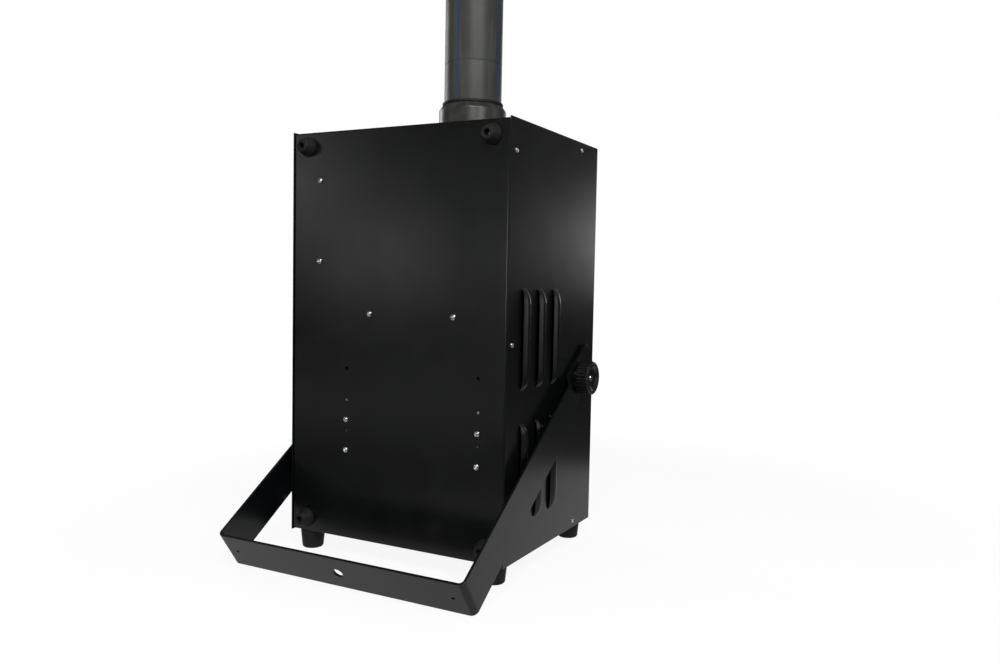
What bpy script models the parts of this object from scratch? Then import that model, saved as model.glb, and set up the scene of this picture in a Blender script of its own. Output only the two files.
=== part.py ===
# Confetti blower: a sheet-metal box on rubber feet that blows confetti up a tall outlet pipe.
# A flat-bar yoke carries it between two clamp knobs.
#
# Frame: metres, +Z up. Z = 0 is the floor under the base feet. X = 0 is the middle of the box.
# The rear panel, with its four feet, faces -Y. The loading door and the controls face +Y.
# Every sub-part is modelled in the box's own frame, whose Y = 0 is the middle of its depth, and
# an empty then shifts the whole, so that the origin lies under the middle of the overall outline.

import math

import bmesh
import bpy
import numpy as np
from mathutils import Matrix, Vector

MM = 0.001
GAP = 0.3 * MM            # clearance between two pieces that seat on each other
MERGE = 0.001 * MM        # distance under which two points are one

# Box
BOX_WIDTH = 311 * MM
BOX_DEPTH = 260 * MM
BOX_HEIGHT = 510 * MM
COVER_SHEET = 1.2 * MM
COVER_BEND = 3 * MM       # outer radius of the cover's two front bends
CHASSIS_SHEET = 1.5 * MM
CHASSIS_BEND = 2 * MM
EDGE_STEP = 1.3 * MM      # how far the cover's edges stand proud of the chassis
SIDE_FLANGE = 20 * MM
FRONT_FLANGE = 14 * MM

# Rubber feet
GROUND_CLEARANCE = 23.5 * MM   # floor to the cover's lower edge
BASE_FOOT_TOP_R = 15.8 * MM
BASE_FOOT_TIP_R = 13.3 * MM
BASE_FOOT_X = 134.5 * MM
BASE_FOOT_REAR_Y = -112 * MM
BASE_FOOT_FRONT_Y = 104 * MM
REAR_FOOT_HEIGHT = 14.5 * MM
REAR_FOOT_ROOT_R = 12.5 * MM
REAR_FOOT_TIP_R = 7.6 * MM
REAR_FOOT_FROM_SIDE = 24 * MM
BASE_FOOT_RECESS_R = 6.5 * MM
REAR_FOOT_HOLE_R = 3.6 * MM
REAR_FOOT_FROM_EDGE = 19 * MM

# Yoke and its clamps
PIVOT_Y = 69.8 * MM
PIVOT_HEIGHT = 202.2 * MM      # above the cover's lower edge
YOKE_REACH = 363 * MM          # pivot to the crossbar's outer face
YOKE_BAR = 50 * MM
YOKE_SHEET = 3 * MM
YOKE_OUTER_X = 170 * MM        # outer face of the arms
YOKE_BEND = 7.5 * MM           # outer bend radius
YOKE_FLOOR_GAP = 0.5 * MM
TAB_TIP = 50 * MM              # pivot to the tab's rounded end
TAB_TIP_R = 38 * MM
JOGGLE_START = 28 * MM
JOGGLE_END = 44 * MM
CLAMP_HOLE_R = 6.5 * MM
SAFETY_HOLE_R = 2 * MM
SAFETY_HOLE_X = 150 * MM
STUD_R = 5 * MM
STUD_PROUD = 0.6 * MM          # above the floor of the knob's dish
STUD_PAST_NUT = 6 * MM
FRICTION_WASHER_R = 20 * MM
FRICTION_WASHER = 1.5 * MM
STEEL_WASHER_R = 13 * MM
STEEL_WASHER = 1.6 * MM
KNOB_R = 21.8 * MM
KNOB_LENGTH = 18.3 * MM
KNOB_RIB = 0.7 * MM
KNOB_CHAMFER = 1.3 * MM
KNOB_RIM = 3 * MM              # width of the flat ring round the knob's dish
KNOB_DISH = 3.5 * MM
KNOB_HUB_R = 12 * MM
KNOB_RIBS = 30
WELD_NUT_R = 9.5 * MM
WELD_NUT_LENGTH = 8 * MM

# Louvres in the cover's sides
LOUVRE_LENGTH = 118 * MM
LOUVRE_WIDTH = 19 * MM
LOUVRE_HEIGHT = 7 * MM
LOUVRE_LIP = 3.2 * MM
LOUVRE_CREST = 0.52            # share of the width at which a louvre is highest
LOUVRE_TAPER = 0.2             # share of the width that is left at a louvre's ends
LOUVRE_FIRST_Y = 34.6 * MM       # from the rear edge to the first slit
LOUVRE_PITCH = 42.2 * MM
LOUVRE_LOWER_Z = 43 * MM       # from the cover's lower edge
LOUVRE_UPPER_Z = 200.8 * MM
LOUVRE_COLUMNS = 3

# Outlet
PIPE_X = 24.5 * MM
PIPE_Y = 12 * MM
PIPE_R = 37.5 * MM
PIPE_WALL = 4.5 * MM
PIPE_ABOVE_BOX = 500 * MM
PIPE_BOTTOM = 366 * MM         # above the cover's lower edge
COLLAR_R = 44 * MM
COLLAR_HEIGHT = 45 * MM
COLLAR_CHAMFER = 7 * MM
COLLAR_CHAMFER_IN = 5.5 * MM
COLLAR_FLANGE_R = 60 * MM
COLLAR_FLANGE = 5 * MM

# Rear panel screws and holes, heights above the cover's lower edge
BRACKET_HALF_SPACING = 93.9 * MM
BRACKET_SCREW_HEIGHTS = (113.2 * MM, 151.5 * MM)
BRACKET_HOLE_HEIGHTS = (176 * MM, 215.2 * MM)
BRACKET_PIN_HOLE_HEIGHT = 136.7 * MM
CLAMP_HALF_SPACING = 59.4 * MM
CLAMP_SCREW_HEIGHT = 284.3 * MM
BOARD_SCREW_X = -112.5 * MM
BOARD_SCREW_HEIGHTS = (BOX_HEIGHT - 162 * MM, BOX_HEIGHT - 61.7 * MM)
SCREW_R = 1.75 * MM
SCREW_HEAD_R = 3.6 * MM
SCREW_HEAD = 2.6 * MM
SCREW_LENGTH = 8 * MM
SCREW_HOLE_R = 2.1 * MM
PIN_HOLE_R = 1.5 * MM

# Blower
BLOWER_R = 84 * MM
BLOWER_WALL = 2 * MM
BLOWER_BOTTOM = 98 * MM
BLOWER_FLANGE_R = 92 * MM
BLOWER_INLET_R = 32 * MM
BRACKET_SHEET = 2 * MM
BRACKET_TAB_WIDTH = 26 * MM
BRACKET_BOTTOM = 103 * MM
BRACKET_SHELF = 190 * MM       # upper face of the shelf, above the cover's lower edge
BRACKET_HALF_WIDTH = 108 * MM
BRACKET_FRONT_Y = 108 * MM
MOTOR_R = 46 * MM
MOTOR_DROP = 46 * MM
MOTOR_PLATE = 3 * MM
MOTOR_AIR_HOLES = 6
MOTOR_AIR_HOLE_R = 11.5 * MM
SHAFT_R = 4 * MM
IMPELLER_R = 72 * MM
IMPELLER_HEIGHT = 20 * MM
IMPELLER_BLADES = 8
NOZZLE_HEIGHT = 62 * MM
NOZZLE_WALL = 2.5 * MM
NOZZLE_LIP = 10 * MM           # how far the nozzle reaches into the pipe's bore line
BRACKET_BEND = 3 * MM
MOTOR_END_R = 20 * MM
MOTOR_END = 8 * MM
MOTOR_CROWN = 16 * MM
MOTOR_CROWN_IN = 6 * MM
IMPELLER_CLEARANCE = 4 * MM
IMPELLER_PLATE = 2 * MM
IMPELLER_HUB_R = 12 * MM
BLADE_SHEET = 1.6 * MM
BLADE_SWEEP = 0.9              # radians that a blade turns from hub to rim
BLADE_LEAN = 0.7
SHAFT_PAST = 5 * MM            # shaft past the impeller
SHAFT_CHAMFER = 0.5 * MM

# Mixing tee, hopper and loading door
TEE_WALL = 4 * MM
TEE_SOCKET = 30 * MM           # depth of the socket that takes the pipe
NECK_HALF_WIDTH = 30 * MM
NECK_HEIGHT = 56 * MM
NECK_FRONT_Y = 72 * MM
NECK_FRONT_BOTTOM = 317 * MM
NECK_SLOPE_DROP = 30 * MM
NECK_WALL = 3 * MM
HOPPER_SHEET = 1.5 * MM
HOPPER_FLANGE = 8 * MM
DOOR_OPENING_HALF_WIDTH = 70 * MM
DOOR_OPENING_BOTTOM = 335 * MM
DOOR_TOP_MARGIN = 60 * MM       # top of the opening to the top of the cover
DOOR_OPENING_HEIGHT = BOX_HEIGHT - DOOR_TOP_MARGIN - DOOR_OPENING_BOTTOM
DOOR_LAP = 10 * MM
DOOR_DEPTH = 8 * MM
DOOR_SHEET = 1.5 * MM
HINGE_R = 4 * MM
HINGE_PIN_R = 1.5 * MM
HINGE_LEAF_HEIGHT = 22 * MM
HINGE_KNUCKLE = 22 * MM
HINGE_END_MARGIN = 8 * MM
DOOR_PULL_R = 9 * MM
DOOR_PULL_LENGTH = 14 * MM
DOOR_PULL_DROP = 22 * MM        # top edge of the door to the pull
CATCH_HALF_WIDTH = 16 * MM
CATCH_HEIGHT = 6 * MM

# Pipe clamp, control board
CLAMP_BAR = 22 * MM
CLAMP_SHEET = 2 * MM
STANDOFF_LENGTH = 12 * MM
STANDOFF_R = 4 * MM
BOARD_WIDTH = 62 * MM
BOARD_HEIGHT = 124 * MM
BOARD_SHEET = 1.6 * MM
BOARD_SIDE_MARGIN = 7 * MM      # screw line to the board's edge
# Left edge, lower edge, width, height and depth of the transformer, relays and heat sink
BOARD_BULKS = ((20 * MM, 14 * MM, 34 * MM, 36 * MM, 26 * MM), (26 * MM, 58 * MM, 12 * MM, 20 * MM, 16 * MM),
               (42 * MM, 58 * MM, 12 * MM, 20 * MM, 16 * MM), (20 * MM, 86 * MM, 34 * MM, 28 * MM, 22 * MM))

# Controls on the front
CONTROLS_HEIGHT = 54 * MM
INLET_X = 92 * MM
SWITCH_X = 42 * MM
SIGNAL_IN_X = -28 * MM
SIGNAL_OUT_X = -84 * MM
INLET_HALF = (15 * MM, 11.5 * MM)
SWITCH_HALF = (10 * MM, 14 * MM)
SWITCH_TILT = 10.0
SIGNAL_R = 12 * MM
FLANGE_SHEET = 2 * MM
CONTROL_DEPTH = 22 * MM
CONTROL_WALL = 2 * MM
INLET_BORDER = (9 * MM, 3 * MM)
SWITCH_BORDER = (3 * MM, 3 * MM)
INLET_RECESS = 16 * MM
SWITCH_RECESS = 12 * MM
SIGNAL_FLANGE_HALF = (13 * MM, 15.5 * MM)
SIGNAL_DEPTH = 20 * MM
SIGNAL_WALL = 2 * MM
SIGNAL_SOCKET = 10 * MM
SIGNAL_WELL = 14 * MM
SIGNAL_MOAT = 1.4 * MM         # width of the groove round the socket's insert
PIN_CIRCLE_R = 3.5 * MM
PIN_ANGLES = (30, 150, 270)
PIN_R = 1.1 * MM
PIN_TOP = 3 * MM               # below the panel's face
PIN_HOLE_R = 1.3 * MM
ROCKER_PIVOT_DEPTH = 3 * MM
ROCKER_PROUD = (4.8 * MM, 3.2 * MM)   # at the key's ends and at its middle, above the pivot
ROCKER_BACK = (1.5 * MM, 5 * MM)
ROCKER_TAPER = 0.9
ROCKER_END_GAP = 1.2 * MM
DISPLAY_HEIGHT = 262 * MM
DISPLAY_HALF = (46 * MM, 25 * MM)
WINDOW_RAISE = 8 * MM          # above the display plate's middle
BUTTON_DROP = 12 * MM
BUTTON_COLLAR = 1.2 * MM
BUTTON_CHAMFER = 0.5 * MM
DISPLAY_SHEET = 4 * MM
WINDOW_HALF = (30 * MM, 8 * MM)
BUTTON_R = 4.2 * MM
BUTTON_PITCH = 18 * MM
BUTTON_PROUD = 2.4 * MM
BUTTON_FLANGE = 1.2 * MM
BUTTON_COUNT = 4

# Places that follow from the sizes above
HALF_WIDTH = BOX_WIDTH / 2
REAR_Y = -BOX_DEPTH / 2
FRONT_Y = BOX_DEPTH / 2
COVER_BOTTOM = GROUND_CLEARANCE
COVER_TOP = COVER_BOTTOM + BOX_HEIGHT
CHASSIS_BOTTOM = COVER_BOTTOM + EDGE_STEP
CHASSIS_TOP = COVER_TOP - EDGE_STEP
REAR_PANEL_Y = REAR_Y + EDGE_STEP
REAR_PANEL_INNER_Y = REAR_PANEL_Y + CHASSIS_SHEET
PIVOT_Z = COVER_BOTTOM + PIVOT_HEIGHT
TAB_INNER_X = HALF_WIDTH + GAP + FRICTION_WASHER + GAP
TAB_OUTER_X = TAB_INNER_X + YOKE_SHEET
STEEL_WASHER_X = TAB_OUTER_X + GAP
KNOB_X = STEEL_WASHER_X + STEEL_WASHER + GAP
HALF_BAR = YOKE_BAR / 2
YOKE_DROP = (math.asin((PIVOT_Z - YOKE_FLOOR_GAP) / math.hypot(YOKE_REACH, HALF_BAR))
             - math.atan2(HALF_BAR, YOKE_REACH))
DOOR_FRONT_Y = FRONT_Y + DOOR_DEPTH
PULL_FRONT_Y = DOOR_FRONT_Y + GAP + DOOR_PULL_LENGTH
YOKE_REAR_Y = PIVOT_Y - YOKE_REACH * math.cos(YOKE_DROP) - HALF_BAR * math.sin(YOKE_DROP)
ORIGIN_SHIFT_Y = -(PULL_FRONT_Y + YOKE_REAR_Y) / 2

ALONG_X = Matrix.Rotation(math.radians(90), 4, "Y")
ALONG_MINUS_X = Matrix.Rotation(math.radians(-90), 4, "Y")
ALONG_Y = Matrix.Rotation(math.radians(-90), 4, "X")
ALONG_MINUS_Y = Matrix.Rotation(math.radians(90), 4, "X")


def clear_scene():
    for old in list(bpy.data.objects):
        bpy.data.objects.remove(old, do_unlink=True)


def make_material(name, colour, roughness, metallic):
    material = bpy.data.materials.new(name)
    material.use_nodes = True
    shader = material.node_tree.nodes["Principled BSDF"]
    shader.inputs["Base Color"].default_value = (*colour, 1.0)
    shader.inputs["Roughness"].default_value = roughness
    shader.inputs["Metallic"].default_value = metallic
    return material


def make_materials():
    table = {
        "box_paint": ((0.020, 0.020, 0.021), 0.42, 0.2),
        "yoke_paint": ((0.030, 0.032, 0.034), 0.45, 0.2),
        "foot_rubber": ((0.012, 0.012, 0.012), 0.8, 0.0),
        "knob_plastic": ((0.010, 0.010, 0.011), 0.38, 0.0),
        "bright_steel": ((0.72, 0.72, 0.70), 0.25, 1.0),
        "pipe_plastic": ((0.075, 0.075, 0.072), 0.45, 0.0),
        "collar_plastic": ((0.016, 0.016, 0.016), 0.5, 0.0),
        "nylon": ((0.55, 0.54, 0.50), 0.5, 0.0),
        "zinc_plate": ((0.60, 0.60, 0.58), 0.4, 1.0),
        "motor_metal": ((0.45, 0.45, 0.46), 0.45, 1.0),
        "black_plastic": ((0.014, 0.014, 0.015), 0.45, 0.0),
        "switch_plastic": ((0.30, 0.015, 0.012), 0.35, 0.0),
        "board_green": ((0.02, 0.12, 0.05), 0.5, 0.0),
        "display_window": ((0.02, 0.03, 0.05), 0.12, 0.0),
    }
    return {name: make_material(name, *values) for name, values in table.items()}


def link_object(name, builder, material=None, origin=(0.0, 0.0, 0.0)):
    """Turn a bmesh in box coordinates into an object whose origin lies at the given point."""
    bmesh.ops.remove_doubles(builder, verts=builder.verts, dist=MERGE)
    mesh = bpy.data.meshes.new(name)
    bmesh.ops.translate(builder, verts=builder.verts, vec=-Vector(origin))
    builder.to_mesh(mesh)
    builder.free()
    mesh.shade_smooth()
    mesh.set_sharp_from_angle(angle=math.radians(35))
    item = bpy.data.objects.new(name, mesh)
    item.location = origin
    bpy.context.scene.collection.objects.link(item)
    if material is not None:
        mesh.materials.append(material)
    return item


def combine(item, builder, operation):
    """Cut a tool out of an object, or unite them. The tool stays as a hidden wire object."""
    tool = link_object(item.name + "_" + operation.lower(), builder)
    tool.hide_render = True
    tool.display_type = "WIRE"
    change = item.modifiers.new(operation.title(), "BOOLEAN")
    change.operation = operation
    change.object = tool


def add_solid(builder, faces_of_points):
    """Add faces given as lists of points, and point them all outwards."""
    made = []
    shared = {}
    for points in faces_of_points:
        corners = []
        for point in points:
            key = tuple(round(value / MERGE) for value in point)
            if key not in shared:
                shared[key] = builder.verts.new(point)
            if shared[key] not in corners:
                corners.append(shared[key])
        if len(corners) > 2:
            made.append(builder.faces.new(corners))
    bmesh.ops.recalc_face_normals(builder, faces=made)


def add_box(builder, low, high):
    corner = [(low[0], high[0]), (low[1], high[1]), (low[2], high[2])]
    grid = [[[Vector((corner[0][i], corner[1][j], corner[2][k])) for k in (0, 1)]
             for j in (0, 1)] for i in (0, 1)]
    add_solid(builder, [
        [grid[0][0][0], grid[0][0][1], grid[0][1][1], grid[0][1][0]],
        [grid[1][0][0], grid[1][1][0], grid[1][1][1], grid[1][0][1]],
        [grid[0][0][0], grid[1][0][0], grid[1][0][1], grid[0][0][1]],
        [grid[0][1][0], grid[0][1][1], grid[1][1][1], grid[1][1][0]],
        [grid[0][0][0], grid[0][1][0], grid[1][1][0], grid[1][0][0]],
        [grid[0][0][1], grid[1][0][1], grid[1][1][1], grid[0][1][1]],
    ])


def add_loft(builder, rings, closed=False):
    """Join rings of equally many points. Open lofts get flat caps; closed ones join end to end."""
    count = len(rings[0])
    faces = []
    spans = list(zip(rings, rings[1:]))
    if closed:
        spans.append((rings[-1], rings[0]))
    for first, second in spans:
        for i in range(count):
            j = (i + 1) % count
            faces.append([first[i], first[j], second[j], second[i]])
    if not closed:
        faces.append(list(rings[0]))
        faces.append(list(rings[-1]))
    add_solid(builder, faces)


def circle_points(radius, height, steps, place, ripple=0.0):
    """Points round a circle; a ripple lifts every second point to make ribs."""
    points = []
    for i in range(steps):
        angle = math.tau * i / steps
        reach = radius + (ripple if i % 2 else 0.0)
        points.append(place @ Vector((reach * math.cos(angle), reach * math.sin(angle), height)))
    return points


def add_turned(builder, profile, place, steps=32, ring=False):
    """Turn a profile of (radius, height, ripple) about local Z. A ring's profile closes on itself."""
    rings = [circle_points(row[0], row[1], steps, place, row[2] if len(row) > 2 else 0.0)
             for row in profile]
    add_loft(builder, rings, closed=ring)


def add_rod(builder, radius, start, end, place, steps=24):
    add_turned(builder, [(radius, start), (radius, end)], place, steps)


def at(x, y, z, turn=None):
    place = Matrix.Translation((x, y, z))
    return place if turn is None else place @ turn


def rounded_rectangle(half_a, half_b, radius, steps=2):
    """Corner points of a rectangle with round corners, anticlockwise."""
    points = []
    for index, (sign_a, sign_b) in enumerate(((1, 1), (-1, 1), (-1, -1), (1, -1))):
        for step in range(steps + 1):
            angle = math.radians(90 * index + 90 * step / steps)
            points.append((sign_a * (half_a - radius) + radius * math.cos(angle),
                           sign_b * (half_b - radius) + radius * math.sin(angle)))
    return points


def add_plate_y(builder, outline, centre, low_y, high_y):
    """Extrude an outline of (x, z) points along Y."""
    rings = [[Vector((centre[0] + a, level, centre[1] + b)) for a, b in outline]
             for level in (low_y, high_y)]
    add_loft(builder, rings)


def chassis_height(value):
    """A height above the cover's lower edge, as a Z in the box frame."""
    return COVER_BOTTOM + value


def bracket_columns():
    return (PIPE_X - BRACKET_HALF_SPACING, PIPE_X + BRACKET_HALF_SPACING)


def rear_screw_places():
    """Name, x and z of the eight bright screws on the rear panel."""
    places = []
    for side, x in zip(("left", "right"), bracket_columns()):
        for level, height in zip(("lower", "upper"), BRACKET_SCREW_HEIGHTS):
            places.append(("bracket_screw_" + side + "_" + level, x, chassis_height(height)))
    for side, sign in (("left", -1), ("right", 1)):
        x = PIPE_X + sign * CLAMP_HALF_SPACING
        places.append(("pipe_clamp_screw_" + side, x, chassis_height(CLAMP_SCREW_HEIGHT)))
    for level, height in zip(("lower", "upper"), BOARD_SCREW_HEIGHTS):
        places.append(("board_screw_" + level, BOARD_SCREW_X, chassis_height(height)))
    return places


def rear_foot_places():
    x = HALF_WIDTH - REAR_FOOT_FROM_SIDE
    low = COVER_BOTTOM + REAR_FOOT_FROM_EDGE
    high = COVER_TOP - REAR_FOOT_FROM_EDGE
    return [("rear_foot_lower_left", -x, low), ("rear_foot_lower_right", x, low),
            ("rear_foot_upper_left", -x, high), ("rear_foot_upper_right", x, high)]


def base_foot_places():
    return [("base_foot_rear_left", -BASE_FOOT_X, BASE_FOOT_REAR_Y),
            ("base_foot_rear_right", BASE_FOOT_X, BASE_FOOT_REAR_Y),
            ("base_foot_front_left", -BASE_FOOT_X, BASE_FOOT_FRONT_Y),
            ("base_foot_front_right", BASE_FOOT_X, BASE_FOOT_FRONT_Y)]


def build_chassis(materials):
    """One sheet bent into a C: rear, top and bottom panels, with flanges for the cover's screws."""
    outer_x = HALF_WIDTH - COVER_SHEET - GAP
    outer_front = FRONT_Y - COVER_SHEET - GAP
    low = Vector((-outer_x, REAR_PANEL_Y, CHASSIS_BOTTOM))
    high = Vector((outer_x, outer_front, CHASSIS_TOP))
    sheet = Vector((CHASSIS_SHEET,) * 3)
    shell = bmesh.new()
    add_box(shell, low, high)
    bmesh.ops.bevel(shell, geom=shell.edges[:], offset=CHASSIS_BEND, segments=2, profile=0.5,
                    affect="EDGES")
    item = link_object("chassis", shell, materials["box_paint"])

    hollow = bmesh.new()
    add_box(hollow, low + sheet, high - sheet)
    bmesh.ops.bevel(hollow, geom=hollow.edges[:], offset=CHASSIS_BEND - CHASSIS_SHEET / 2,
                    segments=1, affect="EDGES")
    combine(item, hollow, "DIFFERENCE")

    windows = bmesh.new()
    flange = Vector((0, SIDE_FLANGE, SIDE_FLANGE))
    side_low = low + flange
    side_high = high - flange
    for sign in (-1, 1):
        edges = sorted((sign * (outer_x - 4 * CHASSIS_BEND), sign * (outer_x + CHASSIS_BEND)))
        add_box(windows, (edges[0], side_low.y, side_low.z), (edges[1], high.y + 1, side_high.z))
    combine(item, windows, "DIFFERENCE")

    front = bmesh.new()
    add_box(front, (-outer_x - CHASSIS_BEND, high.y - 4 * CHASSIS_BEND, low.z + FRONT_FLANGE),
            (outer_x + CHASSIS_BEND, high.y + CHASSIS_BEND, high.z - FRONT_FLANGE))
    combine(item, front, "DIFFERENCE")

    holes = bmesh.new()
    through = 6 * CHASSIS_SHEET
    for _, x, z in rear_screw_places():
        add_rod(holes, SCREW_HOLE_R, 0, through, at(x, REAR_PANEL_Y - CHASSIS_SHEET, z, ALONG_Y), 8)
    for x in bracket_columns():
        for height in BRACKET_HOLE_HEIGHTS:
            place = at(x, REAR_PANEL_Y - CHASSIS_SHEET, chassis_height(height), ALONG_Y)
            add_rod(holes, SCREW_HOLE_R, 0, through, place, 12)
        place = at(x, REAR_PANEL_Y - CHASSIS_SHEET, chassis_height(BRACKET_PIN_HOLE_HEIGHT), ALONG_Y)
        add_rod(holes, PIN_HOLE_R, 0, through, place, 8)
    add_rod(holes, PIPE_R + 1.5 * MM, -through, through, at(PIPE_X, PIPE_Y, CHASSIS_TOP), 32)
    combine(item, holes, "DIFFERENCE")
    return item


def louvre_height(v):
    """Height of a louvre across its width, v = 0 at the slit and 1 at the far edge."""
    lip = LOUVRE_LIP / LOUVRE_HEIGHT
    if v < LOUVRE_CREST:
        return LOUVRE_HEIGHT * (lip + (1 - lip) * math.sin(math.pi / 2 * v / LOUVRE_CREST))
    return LOUVRE_HEIGHT / 2 * (1 + math.cos(math.pi * (v - LOUVRE_CREST) / (1 - LOUVRE_CREST)))


def louvre_end(s):
    """How much of its full shape a louvre has at s along its length; its ends are quarter rounds."""
    half = LOUVRE_LENGTH / 2
    round_end = LOUVRE_WIDTH
    past = max(0.0, abs(s) - (half - round_end)) / round_end
    return math.sqrt(max(0.0, 1 - past * past))


def louvre_stations():
    half = LOUVRE_LENGTH / 2
    near_end = [half - LOUVRE_WIDTH * (1 - math.sin(math.radians(a))) for a in (0, 35, 65, 90)]
    return [-s for s in reversed(near_end)] + near_end


def louvre_outline_width(s):
    return LOUVRE_WIDTH * (LOUVRE_TAPER + (1 - LOUVRE_TAPER) * louvre_end(s))


def add_louvre_hood(builder, sign, slit_y, middle_z):
    """A pressed hood: a curved sheet that blends into the panel and stands open at its slit."""
    outer_x = HALF_WIDTH
    sunk = 0.25 * COVER_SHEET
    overlap = GAP
    across = (0.0, 0.3, 0.6, 0.82, 1.0)

    def station(s):
        end = louvre_end(s)
        width = louvre_outline_width(s)
        outside = []
        inside = []
        for v in across:
            rise = end * louvre_height(v) - sunk * (1 if v == 1.0 else 1 - end)
            drop = max(rise - COVER_SHEET, -COVER_SHEET + sunk)
            y = slit_y - overlap + v * (width + overlap)
            outside.append(Vector((sign * (outer_x + rise), y, middle_z + s)))
            inside.append(Vector((sign * (outer_x + drop), y, middle_z + s)))
        return outside + inside[::-1]

    add_loft(builder, [station(s) for s in louvre_stations()])


def add_louvre_window(builder, sign, slit_y, middle_z):
    """The D-shaped opening under a hood."""
    margin = 0.8 * MM
    inset = 4 * MM
    stations = [s for s in louvre_stations() if abs(s) < LOUVRE_LENGTH / 2 - inset]
    outline = [(slit_y, stations[0]), (slit_y, stations[-1])]
    for s in reversed(stations):
        outline.append((slit_y + louvre_outline_width(s) - 2 * margin, s))
    rings = []
    for depth in (-4 * COVER_SHEET, 2 * COVER_SHEET):
        rings.append([Vector((sign * (HALF_WIDTH + depth), y, middle_z + s)) for y, s in outline])
    add_loft(builder, rings)


def louvre_places():
    places = []
    for sign in (-1, 1):
        for column in range(LOUVRE_COLUMNS):
            slit_y = REAR_Y + LOUVRE_FIRST_Y + column * LOUVRE_PITCH
            for low in (LOUVRE_LOWER_Z, LOUVRE_UPPER_Z):
                places.append((sign, slit_y, chassis_height(low) + LOUVRE_LENGTH / 2))
    return places


def cover_outline():
    """Plan outline of the cover: outside from rear left round the front to rear right, then back."""
    outside = [(-HALF_WIDTH, REAR_Y)]
    inside = [(-HALF_WIDTH + COVER_SHEET, REAR_Y)]
    for sign, angles in ((-1, (180, 157.5, 135, 112.5, 90)), (1, (90, 67.5, 45, 22.5, 0))):
        centre_x = sign * (HALF_WIDTH - COVER_BEND)
        for angle in angles:
            turn = math.radians(angle)
            direction = (math.cos(turn), math.sin(turn))
            outside.append((centre_x + COVER_BEND * direction[0],
                            FRONT_Y - COVER_BEND + COVER_BEND * direction[1]))
            reach = COVER_BEND - COVER_SHEET
            inside.append((centre_x + reach * direction[0],
                           FRONT_Y - COVER_BEND + reach * direction[1]))
    outside.append((HALF_WIDTH, REAR_Y))
    inside.append((HALF_WIDTH - COVER_SHEET, REAR_Y))
    return outside, inside


def build_cover(materials):
    """One sheet bent into a U: both sides and the front, with louvres, openings and weld nuts."""
    outside, inside = cover_outline()
    shell = bmesh.new()
    stations = []
    for outer, inner in zip(outside, inside):
        stations.append([Vector((*outer, COVER_BOTTOM)), Vector((*outer, COVER_TOP)),
                         Vector((*inner, COVER_TOP)), Vector((*inner, COVER_BOTTOM))])
    add_loft(shell, stations)
    item = link_object("cover", shell, materials["box_paint"])

    windows = bmesh.new()
    for place in louvre_places():
        add_louvre_window(windows, *place)
    front_in = FRONT_Y - 4 * COVER_SHEET
    front_out = FRONT_Y + 2 * COVER_SHEET
    add_box(windows,
            (PIPE_X - DOOR_OPENING_HALF_WIDTH, front_in, chassis_height(DOOR_OPENING_BOTTOM)),
            (PIPE_X + DOOR_OPENING_HALF_WIDTH, front_out,
             chassis_height(DOOR_OPENING_BOTTOM + DOOR_OPENING_HEIGHT)))
    controls_z = chassis_height(CONTROLS_HEIGHT)
    for x, half in ((INLET_X, INLET_HALF), (SWITCH_X, SWITCH_HALF)):
        add_box(windows, (x - half[0] - GAP, front_in, controls_z - half[1] - GAP),
                (x + half[0] + GAP, front_out, controls_z + half[1] + GAP))
    for x in (SIGNAL_IN_X, SIGNAL_OUT_X):
        add_rod(windows, SIGNAL_R + 2 * GAP, front_in, front_out, at(x, 0, controls_z, ALONG_Y), 20)
    display_z = chassis_height(DISPLAY_HEIGHT)
    cutout = 4 * MM
    add_box(windows, (-DISPLAY_HALF[0] + cutout, front_in, display_z - DISPLAY_HALF[1] + cutout),
            (DISPLAY_HALF[0] - cutout, front_out, display_z + DISPLAY_HALF[1] - cutout))
    combine(item, windows, "DIFFERENCE")

    hoods = bmesh.new()
    for place in louvre_places():
        add_louvre_hood(hoods, *place)
    for sign in (-1, 1):
        turn = ALONG_X if sign > 0 else ALONG_MINUS_X
        start = HALF_WIDTH - COVER_SHEET / 2
        add_rod(hoods, WELD_NUT_R, start - WELD_NUT_LENGTH, start, at(0, PIVOT_Y, PIVOT_Z, turn), 6)
    combine(item, hoods, "UNION")

    bores = bmesh.new()
    for sign in (-1, 1):
        turn = ALONG_X if sign > 0 else ALONG_MINUS_X
        add_rod(bores, STUD_R + GAP, HALF_WIDTH - 2 * WELD_NUT_LENGTH, HALF_WIDTH + COVER_SHEET,
                at(0, PIVOT_Y, PIVOT_Z, turn), 16)
    combine(item, bores, "DIFFERENCE")
    return item


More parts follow.
